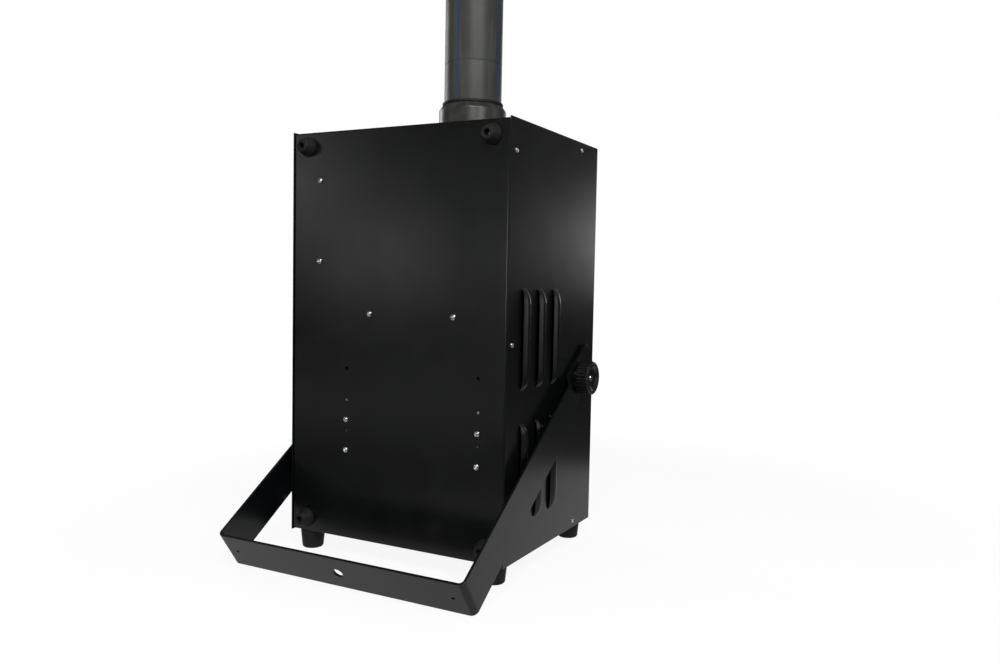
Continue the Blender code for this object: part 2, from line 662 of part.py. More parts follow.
def build_feet(materials):
    """Moulded rubber feet: a tapered barrel with a rounded tip and a recess for its screw."""
    made = []
    height = CHASSIS_BOTTOM - GAP
    recess_r = BASE_FOOT_RECESS_R
    for name, x, y in base_foot_places():
        foot = bmesh.new()
        edge = 2 * MM
        profile = [(BASE_FOOT_TOP_R, height), (BASE_FOOT_TIP_R + 0.25 * MM, edge),
                   (BASE_FOOT_TIP_R - 0.7 * MM, 0.5 * MM), (BASE_FOOT_TIP_R - edge, 0.0),
                   (recess_r, 0.0), (recess_r - 0.4 * MM, height * 0.55),
                   (SCREW_R + GAP, height * 0.55), (SCREW_R + GAP, height)]
        add_turned(foot, profile, at(x, y, 0), 16, ring=True)
        made.append(link_object(name, foot, materials["foot_rubber"], (x, y, 0)))
    seat_y = REAR_PANEL_Y - GAP
    for name, x, z in rear_foot_places():
        foot = bmesh.new()
        edge = 1.2 * MM
        hole_r = REAR_FOOT_HOLE_R
        profile = [(REAR_FOOT_ROOT_R, 0.0), (REAR_FOOT_ROOT_R - 0.6 * MM, 3 * MM),
                   (REAR_FOOT_TIP_R + 0.4 * MM, REAR_FOOT_HEIGHT - edge),
                   (REAR_FOOT_TIP_R - 0.6 * MM, REAR_FOOT_HEIGHT), (hole_r, REAR_FOOT_HEIGHT),
                   (hole_r, REAR_FOOT_HEIGHT * 0.4), (SCREW_R + GAP, REAR_FOOT_HEIGHT * 0.4),
                   (SCREW_R + GAP, 0.0)]
        add_turned(foot, profile, at(x, seat_y, z, ALONG_MINUS_Y), 14, ring=True)
        made.append(link_object(name, foot, materials["foot_rubber"], (x, seat_y, z)))
    return made


def arc_points(centre, radius, start, end, steps):
    return [(centre[0] + radius * math.cos(math.radians(start + (end - start) * i / steps)),
             centre[1] + radius * math.sin(math.radians(start + (end - start) * i / steps)))
            for i in range(steps + 1)]


def tab_half_width(past):
    """Half width of the yoke's tab at a distance past the pivot, towards its rounded end."""
    inner = TAB_TIP - TAB_TIP_R
    if past <= inner:
        return HALF_BAR
    return min(HALF_BAR, math.sqrt(max(0.0, TAB_TIP_R ** 2 - (past - inner) ** 2)))


def yoke_half_path():
    """Outer face of one half of the yoke as (x, distance from the pivot, half width) rows."""
    rows = []
    for share in (1.0, 0.98, 0.94, 0.88, 0.8):
        past = share * TAB_TIP
        rows.append((TAB_OUTER_X, -past, max(tab_half_width(past), 4 * MM)))
    rows.append((TAB_OUTER_X, JOGGLE_START, HALF_BAR))
    rows.append((YOKE_OUTER_X, JOGGLE_END, HALF_BAR))
    centre = (YOKE_OUTER_X - YOKE_BEND, YOKE_REACH - YOKE_BEND)
    for x, u in arc_points(centre, YOKE_BEND, 0, 90, 6):
        rows.append((x, u, HALF_BAR))
    return rows


def offset_inwards(rows, distance):
    """Move a path of (x, u) rows square to itself, to the side that faces the box."""
    moved = []
    for i, row in enumerate(rows):
        before = rows[max(i - 1, 0)]
        after = rows[min(i + 1, len(rows) - 1)]
        first = Vector((row[0] - before[0], row[1] - before[1])) if i else None
        last = Vector((after[0] - row[0], after[1] - row[1])) if i < len(rows) - 1 else None
        first = (first or last).normalized()
        last = (last or first).normalized()
        normal = Vector((-(first.y + last.y), first.x + last.x)).normalized()
        reach = distance / max(0.5, normal.dot(Vector((-first.y, first.x))))
        moved.append((row[0] + reach * normal.x, row[1] + reach * normal.y))
    return moved


def yoke_point(x, u, w):
    """A point of the yoke: u runs from the pivot to the crossbar, w across the bar, upwards."""
    along = Vector((0, -math.cos(YOKE_DROP), -math.sin(YOKE_DROP)))
    across = Vector((0, -math.sin(YOKE_DROP), math.cos(YOKE_DROP)))
    return Vector((x, PIVOT_Y, PIVOT_Z)) + u * along + w * across


def build_yoke(materials):
    """A flat bar bent into a U, its ends joggled in to the clamps and rounded."""
    half = yoke_half_path()
    rows = half + [(-x, u, w) for x, u, w in reversed(half)]
    inner = offset_inwards(rows, YOKE_SHEET)
    bar = bmesh.new()
    stations = []
    for (x, u, w), (inner_x, inner_u) in zip(rows, inner):
        stations.append([yoke_point(x, u, -w), yoke_point(x, u, w),
                         yoke_point(inner_x, inner_u, w), yoke_point(inner_x, inner_u, -w)])
    add_loft(bar, stations)
    item = link_object("yoke", bar, materials["yoke_paint"], (0, PIVOT_Y, PIVOT_Z))

    holes = bmesh.new()
    for sign in (-1, 1):
        turn = ALONG_X if sign > 0 else ALONG_MINUS_X
        add_rod(holes, STUD_R + 2 * GAP, TAB_INNER_X - YOKE_SHEET, TAB_OUTER_X + YOKE_SHEET,
                at(0, PIVOT_Y, PIVOT_Z, turn), 16)
    square_to_bar = Matrix.Rotation(YOKE_DROP - math.radians(90), 4, "X") @ Matrix.Rotation(math.pi, 4, "X")
    for x, radius in ((0.0, CLAMP_HOLE_R), (-SAFETY_HOLE_X, SAFETY_HOLE_R), (SAFETY_HOLE_X, SAFETY_HOLE_R)):
        middle = yoke_point(x, YOKE_REACH - YOKE_SHEET / 2, 0)
        add_rod(holes, radius, -2 * YOKE_SHEET, 2 * YOKE_SHEET,
                Matrix.Translation(middle) @ square_to_bar, 16)
    combine(item, holes, "DIFFERENCE")
    return item


def build_clamp(materials, side, sign):
    """Friction washer, steel washer, stud and ribbed knob on one side."""
    turn = ALONG_X if sign > 0 else ALONG_MINUS_X
    place = at(0, PIVOT_Y, PIVOT_Z, turn)
    made = []

    def disc(name, inner_r, outer_r, start, thickness, material):
        washer = bmesh.new()
        add_turned(washer, [(inner_r, start), (outer_r, start), (outer_r, start + thickness),
                            (inner_r, start + thickness)], place, 20, ring=True)
        made.append(link_object(name + "_" + side, washer, materials[material],
                                (sign * start, PIVOT_Y, PIVOT_Z)))

    disc("friction_washer", STUD_R + GAP, FRICTION_WASHER_R, HALF_WIDTH + GAP, FRICTION_WASHER, "nylon")
    disc("clamp_washer", STUD_R + GAP, STEEL_WASHER_R, STEEL_WASHER_X, STEEL_WASHER, "zinc_plate")

    ridge_r = KNOB_R - KNOB_RIB
    front = KNOB_X + KNOB_LENGTH
    floor = front - KNOB_DISH
    profile = [
        (STUD_R + GAP, KNOB_X), (ridge_r - KNOB_CHAMFER, KNOB_X), (ridge_r, KNOB_X + KNOB_CHAMFER, KNOB_RIB),
        (ridge_r, front - KNOB_CHAMFER, KNOB_RIB), (ridge_r - KNOB_CHAMFER, front),
        (ridge_r - KNOB_CHAMFER - KNOB_RIM, front), (KNOB_HUB_R, floor), (STUD_R + GAP, floor),
    ]
    knob = bmesh.new()
    add_turned(knob, profile, place, 2 * KNOB_RIBS, ring=True)
    made.append(link_object("clamp_knob_" + side, knob, materials["knob_plastic"],
                            (sign * KNOB_X, PIVOT_Y, PIVOT_Z)))

    stud = bmesh.new()
    chamfer = 0.8 * MM
    start = HALF_WIDTH - COVER_SHEET - WELD_NUT_LENGTH - STUD_PAST_NUT
    end = floor + STUD_PROUD
    add_turned(stud, [(STUD_R - chamfer, start), (STUD_R, start + chamfer), (STUD_R, end - chamfer),
                      (STUD_R - chamfer, end)], place, 20)
    made.append(link_object("clamp_stud_" + side, stud, materials["bright_steel"],
                            (sign * start, PIVOT_Y, PIVOT_Z)))
    return made


def build_outlet(materials):
    """The flanged collar on the top, and the plastic pipe that stands in it."""
    place = at(PIPE_X, PIPE_Y, 0)
    seat = CHASSIS_TOP + GAP
    top = COVER_TOP + COLLAR_HEIGHT
    collar = bmesh.new()
    profile = [(PIPE_R + GAP, seat), (COLLAR_FLANGE_R, seat), (COLLAR_FLANGE_R, seat + COLLAR_FLANGE),
               (COLLAR_R + 3 * MM, seat + COLLAR_FLANGE),
               (COLLAR_R, seat + COLLAR_FLANGE + 3 * MM), (COLLAR_R, top - COLLAR_CHAMFER),
               (COLLAR_R - COLLAR_CHAMFER_IN, top), (PIPE_R + GAP, top)]
    add_turned(collar, profile, place, 32, ring=True)
    made = [link_object("outlet_collar", collar, materials["collar_plastic"], (PIPE_X, PIPE_Y, seat))]

    pipe = bmesh.new()
    low = chassis_height(PIPE_BOTTOM)
    high = COVER_TOP + PIPE_ABOVE_BOX
    edge = 0.8 * MM
    add_turned(pipe, [(PIPE_R - PIPE_WALL, low), (PIPE_R, low), (PIPE_R, high - edge),
                      (PIPE_R - edge, high), (PIPE_R - PIPE_WALL, high)], place, 32, ring=True)
    made.append(link_object("outlet_pipe", pipe, materials["pipe_plastic"], (PIPE_X, PIPE_Y, low)))
    return made


def build_rear_screws(materials):
    made = []
    seat = REAR_PANEL_Y - GAP
    for name, x, z in rear_screw_places():
        screw = bmesh.new()
        add_turned(screw, [(SCREW_R, -SCREW_LENGTH), (SCREW_R, 0.0), (SCREW_HEAD_R, 0.0),
                           (SCREW_HEAD_R - 0.4 * MM, 1.5 * MM), (SCREW_HEAD_R - 1.8 * MM, SCREW_HEAD)],
                   at(x, seat, z, ALONG_MINUS_Y), 10)
        made.append(link_object(name, screw, materials["bright_steel"], (x, seat, z)))
    return made


def build_blower(materials):
    """Bracket, case, motor, shaft, impeller and nozzle, all in line with the outlet pipe."""
    made = []
    shelf_top = chassis_height(BRACKET_SHELF)
    shelf_low = shelf_top - BRACKET_SHEET
    rear = REAR_PANEL_INNER_Y + GAP
    low = chassis_height(BRACKET_BOTTOM)
    bend = BRACKET_BEND
    steps = 3
    outer = [(rear, low)]
    outer += [(rear + bend - bend * math.cos(math.radians(90 * i / steps)),
               shelf_top - bend + bend * math.sin(math.radians(90 * i / steps))) for i in range(steps + 1)]
    outer += [(BRACKET_FRONT_Y, shelf_top)]
    reach = bend - BRACKET_SHEET
    inner = [(rear + BRACKET_SHEET, low)]
    inner += [(rear + bend - reach * math.cos(math.radians(90 * i / steps)),
               shelf_top - bend + reach * math.sin(math.radians(90 * i / steps))) for i in range(steps + 1)]
    inner += [(BRACKET_FRONT_Y, shelf_low)]
    left = PIPE_X - BRACKET_HALF_WIDTH
    right = PIPE_X + BRACKET_HALF_WIDTH
    shape = bmesh.new()
    add_loft(shape, [[Vector((left, *a)), Vector((right, *a)), Vector((right, *b)), Vector((left, *b))]
                     for a, b in zip(outer, inner)])
    bracket = link_object("blower_bracket", shape, materials["zinc_plate"])
    cuts = bmesh.new()
    add_rod(cuts, BLOWER_R + 2 * GAP, shelf_low - bend, shelf_top + bend, at(PIPE_X, PIPE_Y, 0), 28)
    half_tab = BRACKET_TAB_WIDTH / 2
    columns = bracket_columns()
    add_box(cuts, (columns[0] + half_tab, rear - bend, low - bend),
            (columns[1] - half_tab, rear + bend, shelf_low - bend))
    for x in columns:
        for height in BRACKET_SCREW_HEIGHTS:
            add_rod(cuts, SCREW_HOLE_R, -bend, 2 * bend, at(x, rear, chassis_height(height), ALONG_Y), 8)
    combine(bracket, cuts, "DIFFERENCE")
    made.append(bracket)

    place = at(PIPE_X, PIPE_Y, 0)
    flange_low = shelf_top + GAP
    flange_top = flange_low + BLOWER_WALL
    bottom = chassis_height(BLOWER_BOTTOM)
    case = bmesh.new()
    add_turned(case, [(BLOWER_INLET_R, bottom), (BLOWER_R, bottom), (BLOWER_R, flange_low),
                      (BLOWER_FLANGE_R, flange_low), (BLOWER_FLANGE_R, flange_top),
                      (BLOWER_R - BLOWER_WALL, flange_top), (BLOWER_R - BLOWER_WALL, bottom + BLOWER_WALL),
                      (BLOWER_INLET_R, bottom + BLOWER_WALL)],
               place, 24, ring=True)
    made.append(link_object("blower_case", case, materials["zinc_plate"], (PIPE_X, PIPE_Y, bottom)))

    plate_low = flange_top + GAP
    plate_top = plate_low + MOTOR_PLATE
    motor_bottom = plate_low - MOTOR_DROP
    motor = bmesh.new()
    crown = plate_top + MOTOR_CROWN
    add_turned(motor, [(SHAFT_R + GAP, motor_bottom), (MOTOR_END_R, motor_bottom),
                       (MOTOR_R, motor_bottom + MOTOR_END), (MOTOR_R, plate_low),
                       (BLOWER_FLANGE_R, plate_low), (BLOWER_FLANGE_R, plate_top),
                       (MOTOR_R - MOTOR_CROWN_IN, plate_top),
                       (MOTOR_R - 2 * MOTOR_CROWN_IN, crown), (SHAFT_R + GAP, crown)], place, 24, ring=True)
    motor_body = link_object("motor_body", motor, materials["motor_metal"], (PIPE_X, PIPE_Y, plate_low))
    air = bmesh.new()
    middle_r = (MOTOR_R + BLOWER_R - BLOWER_WALL) / 2
    for i in range(MOTOR_AIR_HOLES):
        angle = math.tau * i / MOTOR_AIR_HOLES
        add_rod(air, MOTOR_AIR_HOLE_R, plate_low - MOTOR_PLATE, plate_top + MOTOR_PLATE,
                at(PIPE_X + middle_r * math.cos(angle), PIPE_Y + middle_r * math.sin(angle), 0), 10)
    combine(motor_body, air, "DIFFERENCE")
    made.append(motor_body)

    impeller_top = motor_bottom - IMPELLER_CLEARANCE
    impeller_low = impeller_top - IMPELLER_HEIGHT
    shaft = bmesh.new()
    shaft_low = impeller_low - SHAFT_PAST
    shaft_top = crown + GAP
    add_turned(shaft, [(SHAFT_R - SHAFT_CHAMFER, shaft_low - SHAFT_CHAMFER), (SHAFT_R, shaft_low),
                       (SHAFT_R, shaft_top), (SHAFT_R - SHAFT_CHAMFER, shaft_top + SHAFT_CHAMFER)], place, 16)
    made.append(link_object("motor_shaft", shaft, materials["bright_steel"], (PIPE_X, PIPE_Y, impeller_low)))
    made.append(build_impeller(materials, impeller_low, impeller_top))

    nozzle_low = plate_top + GAP
    nozzle_top = nozzle_low + NOZZLE_HEIGHT
    bore = PIPE_R - PIPE_WALL
    lip = NOZZLE_LIP
    nozzle = bmesh.new()
    add_turned(nozzle, [(BLOWER_FLANGE_R, nozzle_low), (BLOWER_FLANGE_R, nozzle_low + NOZZLE_WALL),
                        (BLOWER_R, nozzle_low + NOZZLE_WALL), (bore + NOZZLE_WALL, nozzle_top - lip),
                        (bore - GAP, nozzle_top - lip), (bore - GAP, nozzle_top),
                        (bore - GAP - NOZZLE_WALL, nozzle_top), (bore - GAP - NOZZLE_WALL, nozzle_top - lip),
                        (BLOWER_R - BLOWER_WALL, nozzle_low)], place, 24, ring=True)
    made.append(link_object("air_nozzle", nozzle, materials["black_plastic"], (PIPE_X, PIPE_Y, nozzle_low)))
    return made, nozzle_top - lip


def build_impeller(materials, low, top):
    """Back plate, hub and backward-curved blades, joined into one wheel."""
    place = at(PIPE_X, PIPE_Y, 0)
    plate = IMPELLER_PLATE
    hub_r = IMPELLER_HUB_R
    blade_root = hub_r + SHAFT_R + BLADE_SHEET
    wheel = bmesh.new()
    add_turned(wheel, [(SHAFT_R + GAP, low), (hub_r, low), (hub_r, top - plate), (IMPELLER_R, top - plate),
                       (IMPELLER_R, top), (SHAFT_R + GAP, top)], place, 24, ring=True)
    item = link_object("impeller", wheel, materials["nylon"], (PIPE_X, PIPE_Y, low))
    blades = bmesh.new()
    half = BLADE_SHEET / 2
    steps = 3
    for blade in range(IMPELLER_BLADES):
        start = math.tau * blade / IMPELLER_BLADES
        rings = []
        for i in range(steps + 1):
            share = i / steps
            reach = blade_root + share * (IMPELLER_R - plate - blade_root)
            angle = start - BLADE_SWEEP * share
            middle = Vector((PIPE_X + reach * math.cos(angle), PIPE_Y + reach * math.sin(angle), 0))
            side = Vector((-math.sin(angle - BLADE_LEAN), math.cos(angle - BLADE_LEAN), 0)) * half
            blade_low = Vector((0, 0, low + share * IMPELLER_HEIGHT / 3))
            blade_top = Vector((0, 0, top - plate / 2))
            rings.append([middle - side + blade_low, middle + side + blade_low,
                          middle + side + blade_top, middle - side + blade_top])
        add_loft(blades, rings)
    combine(item, blades, "UNION")
    return item


def add_sheared_box(builder, half_width, rear_y, rear_z, front_y, front_z, height):
    """A box whose floor and roof climb from the rear to the front."""
    rings = []
    for y, z in ((rear_y, rear_z), (front_y, front_z)):
        rings.append([Vector((PIPE_X - half_width, y, z)), Vector((PIPE_X + half_width, y, z)),
                      Vector((PIPE_X + half_width, y, z + height)),
                      Vector((PIPE_X - half_width, y, z + height))])
    add_loft(builder, rings)


def build_mixing_tee(materials, nozzle_seat):
    """The tube in which falling confetti meets the air: a socket on top and a sloped side neck."""
    bore = PIPE_R - PIPE_WALL
    outer = PIPE_R + GAP + TEE_WALL
    low = nozzle_seat + GAP
    floor = chassis_height(PIPE_BOTTOM) - GAP
    high = chassis_height(PIPE_BOTTOM) + TEE_SOCKET
    place = at(PIPE_X, PIPE_Y, 0)
    tube = bmesh.new()
    add_rod(tube, outer, low, high, place, 28)
    item = link_object("mixing_tee", tube, materials["black_plastic"], (PIPE_X, PIPE_Y, low))
    neck_low = chassis_height(NECK_FRONT_BOTTOM)
    slope = NECK_SLOPE_DROP / (NECK_FRONT_Y - PIPE_Y)
    neck = bmesh.new()
    add_sheared_box(neck, NECK_HALF_WIDTH + NECK_WALL, PIPE_Y, neck_low - NECK_WALL - NECK_SLOPE_DROP,
                    NECK_FRONT_Y, neck_low - NECK_WALL, NECK_HEIGHT + 2 * NECK_WALL)
    combine(item, neck, "UNION")
    bores = bmesh.new()
    add_turned(bores, [(bore, low - TEE_WALL), (bore, floor), (PIPE_R + GAP, floor),
                       (PIPE_R + GAP, high + TEE_WALL)], place, 28)
    combine(item, bores, "DIFFERENCE")
    channel = bmesh.new()
    past = TEE_WALL
    add_sheared_box(channel, NECK_HALF_WIDTH, PIPE_Y, neck_low - NECK_SLOPE_DROP,
                    NECK_FRONT_Y + past, neck_low + slope * past, NECK_HEIGHT)
    combine(item, channel, "DIFFERENCE")
    return item


def build_hopper(materials):
    """A sheet funnel from the loading opening down to the tee's neck, with a flange on the panel."""
    rear_y = NECK_FRONT_Y + GAP
    front_y = FRONT_Y - COVER_SHEET - GAP
    neck_low = chassis_height(NECK_FRONT_BOTTOM)
    opening_low = chassis_height(DOOR_OPENING_BOTTOM)

    def frame_ring(y, half, low, high):
        return [Vector((PIPE_X - half, y, low)), Vector((PIPE_X + half, y, low)),
                Vector((PIPE_X + half, y, high)), Vector((PIPE_X - half, y, high))]

    opening_high = opening_low + DOOR_OPENING_HEIGHT
    sheet = HOPPER_SHEET
    half = DOOR_OPENING_HALF_WIDTH
    neck_high = neck_low + NECK_HEIGHT
    inner_rear = frame_ring(rear_y, NECK_HALF_WIDTH, neck_low, neck_high)
    inner_front = frame_ring(front_y, half, opening_low, opening_high)
    flange_front = frame_ring(front_y, half + HOPPER_FLANGE, opening_low - HOPPER_FLANGE,
                               opening_high + HOPPER_FLANGE)
    flange_back = frame_ring(front_y - sheet, half + HOPPER_FLANGE, opening_low - HOPPER_FLANGE,
                               opening_high + HOPPER_FLANGE)
    outer_front = frame_ring(front_y - sheet, half + sheet, opening_low - sheet, opening_high + sheet)
    outer_rear = frame_ring(rear_y, NECK_HALF_WIDTH + sheet, neck_low - sheet, neck_high + sheet)
    funnel = bmesh.new()
    add_loft(funnel, [inner_rear, inner_front, flange_front, flange_back, outer_front, outer_rear],
             closed=True)
    return link_object("hopper", funnel, materials["zinc_plate"], (PIPE_X, rear_y, neck_low))


def hinge_axis():
    y = FRONT_Y + GAP + HINGE_R
    z = chassis_height(DOOR_OPENING_BOTTOM) - DOOR_LAP - GAP - HINGE_R
    return y, z


def build_door(materials):
    """Loading door: a shallow folded pan with its hinge, pull and magnet catch."""
    made = []
    hinge_y, hinge_z = hinge_axis()
    half = DOOR_OPENING_HALF_WIDTH + DOOR_LAP
    low = chassis_height(DOOR_OPENING_BOTTOM) - DOOR_LAP
    high = low + DOOR_OPENING_HEIGHT + 2 * DOOR_LAP
    rim_y = FRONT_Y + GAP
    origin = (PIPE_X, hinge_y, hinge_z)
    pan = bmesh.new()
    centre = (PIPE_X, (low + high) / 2)
    half_height = (high - low) / 2
    outer = rounded_rectangle(half, half_height, 4 * MM, 2)
    inner = rounded_rectangle(half - DOOR_SHEET, half_height - DOOR_SHEET, 2.5 * MM, 2)
    levels = [(outer, rim_y), (outer, DOOR_FRONT_Y)]
    rings = [[Vector((centre[0] + a, y, centre[1] + b)) for a, b in outline] for outline, y in levels]
    add_loft(pan, rings)
    door = link_object("loading_door", pan, materials["box_paint"], origin)
    hollow = bmesh.new()
    add_plate_y(hollow, inner, centre, rim_y - DOOR_SHEET, DOOR_FRONT_Y - DOOR_SHEET)
    combine(door, hollow, "DIFFERENCE")

    edge = half - HINGE_END_MARGIN
    barrels = bmesh.new()
    webs = bmesh.new()
    for sign in (-1, 1):
        start = PIPE_X + sign * edge
        ends = sorted((start, start - sign * HINGE_KNUCKLE))
        add_rod(barrels, HINGE_R, ends[0], ends[1], at(0, hinge_y, hinge_z, ALONG_X), 16)
        add_box(webs, (ends[0], DOOR_FRONT_Y - DOOR_SHEET, hinge_z), (ends[1], DOOR_FRONT_Y, low + DOOR_LAP))
    combine(door, webs, "UNION")
    combine(door, barrels, "UNION")
    pin_bore = bmesh.new()
    add_rod(pin_bore, HINGE_PIN_R + GAP, PIPE_X - 2 * edge, PIPE_X + 2 * edge,
            at(0, hinge_y, hinge_z, ALONG_X), 12)
    pull_z = high - DOOR_PULL_DROP
    add_rod(pin_bore, SCREW_R + GAP, DOOR_FRONT_Y - 3 * DOOR_SHEET, DOOR_FRONT_Y + DOOR_SHEET,
            at(PIPE_X, 0, pull_z, ALONG_Y), 12)
    combine(door, pin_bore, "DIFFERENCE")
    made.append(door)

    leaf = bmesh.new()
    leaf_half = edge - HINGE_KNUCKLE - 2 * GAP
    add_box(leaf, (PIPE_X - leaf_half, rim_y, hinge_z - HINGE_LEAF_HEIGHT),
            (PIPE_X + leaf_half, rim_y + DOOR_SHEET, hinge_z))
    hinge_leaf = link_object("hinge_leaf", leaf, materials["box_paint"], origin)
    barrel = bmesh.new()
    add_rod(barrel, HINGE_R, PIPE_X - leaf_half, PIPE_X + leaf_half, at(0, hinge_y, hinge_z, ALONG_X), 16)
    combine(hinge_leaf, barrel, "UNION")
    leaf_bore = bmesh.new()
    add_rod(leaf_bore, HINGE_PIN_R + GAP, PIPE_X - 2 * edge, PIPE_X + 2 * edge,
            at(0, hinge_y, hinge_z, ALONG_X), 12)
    combine(hinge_leaf, leaf_bore, "DIFFERENCE")
    made.append(hinge_leaf)

    pin = bmesh.new()
    add_rod(pin, HINGE_PIN_R, PIPE_X - edge - 1 * MM, PIPE_X + edge + 1 * MM,
            at(0, hinge_y, hinge_z, ALONG_X), 12)
    made.append(link_object("hinge_pin", pin, materials["bright_steel"], origin))

    pull = bmesh.new()
    start = DOOR_FRONT_Y + GAP
    add_turned(pull, [(SCREW_R, -DOOR_SHEET * 3), (SCREW_R, 0.0), (5 * MM, 0.0), (4.5 * MM, 5 * MM),
                      (DOOR_PULL_R - 1 * MM, 7 * MM), (DOOR_PULL_R, 8.5 * MM), (DOOR_PULL_R, 12 * MM),
                      (DOOR_PULL_R - 2 * MM, DOOR_PULL_LENGTH)], at(PIPE_X, start, pull_z, ALONG_Y), 20)
    made.append(link_object("door_pull", pull, materials["black_plastic"], (PIPE_X, start, pull_z)))

    catch = bmesh.new()
    catch_low = chassis_height(DOOR_OPENING_BOTTOM) + DOOR_OPENING_HEIGHT + 1 * MM
    add_box(catch, (PIPE_X - CATCH_HALF_WIDTH, rim_y, catch_low),
            (PIPE_X + CATCH_HALF_WIDTH, DOOR_FRONT_Y - DOOR_SHEET - GAP, catch_low + CATCH_HEIGHT))
    made.append(link_object("magnet_catch", catch, materials["black_plastic"], (PIPE_X, rim_y, catch_low)))
    return made


def build_pipe_clamp(materials, tee_outer):
    """A bent strap round the tee, with two feet on the rear panel."""
    rear = REAR_PANEL_INNER_Y + GAP
    middle_z = chassis_height(CLAMP_SCREW_HEIGHT)
    reach = tee_outer + GAP
    foot_end = CLAMP_HALF_SPACING + 9 * MM
    outer_half = [(foot_end, rear)]
    inner_half = [(foot_end, rear + CLAMP_SHEET)]
    outer_half += [(reach, rear)]
    inner_half += [(reach + CLAMP_SHEET, rear + CLAMP_SHEET)]
    steps = 7
    for i in range(steps + 1):
        angle = math.radians(90 * i / steps)
        outer_half.append((reach * math.cos(angle), PIPE_Y + reach * math.sin(angle)))
        inner_half.append(((reach + CLAMP_SHEET) * math.cos(angle),
                           PIPE_Y + (reach + CLAMP_SHEET) * math.sin(angle)))
    path_a = outer_half + [(-x, y) for x, y in reversed(outer_half[:-1])]
    path_b = inner_half + [(-x, y) for x, y in reversed(inner_half[:-1])]
    strap = bmesh.new()
    low = middle_z - CLAMP_BAR / 2
    high = middle_z + CLAMP_BAR / 2
    add_loft(strap, [[Vector((PIPE_X + a[0], a[1], low)), Vector((PIPE_X + a[0], a[1], high)),
                      Vector((PIPE_X + b[0], b[1], high)), Vector((PIPE_X + b[0], b[1], low))]
                     for a, b in zip(path_a, path_b)])
    item = link_object("pipe_clamp", strap, materials["zinc_plate"], (PIPE_X, rear, middle_z))
    holes = bmesh.new()
    for sign in (-1, 1):
        add_rod(holes, SCREW_HOLE_R, -CLAMP_SHEET, 2 * CLAMP_SHEET,
                at(PIPE_X + sign * CLAMP_HALF_SPACING, rear, middle_z, ALONG_Y), 12)
    combine(item, holes, "DIFFERENCE")
    return item


def build_control_board(materials):
    """Circuit board on two pillars, with the bulk of its transformer, relays and heat sink."""
    made = []
    rear = REAR_PANEL_INNER_Y + GAP
    pillar_end = rear + STANDOFF_LENGTH
    for level, height in zip(("lower", "upper"), BOARD_SCREW_HEIGHTS):
        pillar = bmesh.new()
        z = chassis_height(height)
        add_turned(pillar, [(SCREW_R + GAP, 0.0), (STANDOFF_R, 0.0), (STANDOFF_R, STANDOFF_LENGTH),
                            (SCREW_R + GAP, STANDOFF_LENGTH)],
                   at(BOARD_SCREW_X, rear, z, ALONG_Y), 6, ring=True)
        made.append(link_object("board_standoff_" + level, pillar, materials["zinc_plate"],
                                (BOARD_SCREW_X, rear, z)))
    board_y = pillar_end + GAP
    top_y = board_y + BOARD_SHEET
    left = BOARD_SCREW_X - BOARD_SIDE_MARGIN
    middle = chassis_height(sum(BOARD_SCREW_HEIGHTS) / 2)
    low = middle - BOARD_HEIGHT / 2
    board = bmesh.new()
    add_box(board, (left, board_y, low), (left + BOARD_WIDTH, top_y, low + BOARD_HEIGHT))
    item = link_object("control_board", board, materials["board_green"], (left, board_y, low))
    bulks = bmesh.new()
    sunk = BOARD_SHEET / 2
    for x, z, wide, tall, deep in BOARD_BULKS:
        add_box(bulks, (left + x, top_y - sunk, low + z),
                (left + x + wide, top_y + deep, low + z + tall))
    combine(item, bulks, "UNION")
    made.append(item)
    return made


def build_controls(materials):
    """Power inlet, switch with its rocker, two signal connectors and the display with buttons."""
    made = []
    z = chassis_height(CONTROLS_HEIGHT)
    face = FRONT_Y + GAP

    def flanged_body(name, x, half, border, material):
        body = bmesh.new()
        add_plate_y(body, rounded_rectangle(half[0] + border[0], half[1] + border[1], 2.5 * MM), (x, z),
                    face, face + FLANGE_SHEET)
        item = link_object(name, body, materials[material], (x, face, z))
        barrel = bmesh.new()
        add_plate_y(barrel, rounded_rectangle(half[0], half[1], 1.5 * MM), (x, z), face - CONTROL_DEPTH,
                    face + FLANGE_SHEET / 2)
        combine(item, barrel, "UNION")
        return item

    inlet = flanged_body("power_inlet", INLET_X, INLET_HALF, INLET_BORDER, "black_plastic")
    recess = bmesh.new()
    wall = CONTROL_WALL
    add_plate_y(recess, rounded_rectangle(INLET_HALF[0] - wall, INLET_HALF[1] - wall, 3 * MM, 2),
                (INLET_X, z), face - INLET_RECESS, face + 2 * FLANGE_SHEET)
    combine(inlet, recess, "DIFFERENCE")
    blades = bmesh.new()
    for dx, dz in ((-7, -1), (0, 3), (7, -1)):
        add_box(blades, (INLET_X + (dx - 1) * MM, face - 17 * MM, z + (dz - 2) * MM),
                (INLET_X + (dx + 1) * MM, face - 4 * MM, z + (dz + 2) * MM))
    combine(inlet, blades, "UNION")
    made.append(inlet)

    switch = flanged_body("switch_frame", SWITCH_X, SWITCH_HALF, SWITCH_BORDER, "black_plastic")
    well = bmesh.new()
    add_box(well, (SWITCH_X - SWITCH_HALF[0] + wall, face - SWITCH_RECESS, z - SWITCH_HALF[1] + wall),
            (SWITCH_X + SWITCH_HALF[0] - wall, face + 2 * FLANGE_SHEET, z + SWITCH_HALF[1] - wall))
    combine(switch, well, "DIFFERENCE")
    made.append(switch)
    made.append(build_rocker(materials, SWITCH_X, face, z, wall))

    for name, x, pins in (("signal_in", SIGNAL_IN_X, True), ("signal_out", SIGNAL_OUT_X, False)):
        made.append(build_signal_connector(materials, name, x, face, z, pins))
    made += build_display(materials, face)
    return made


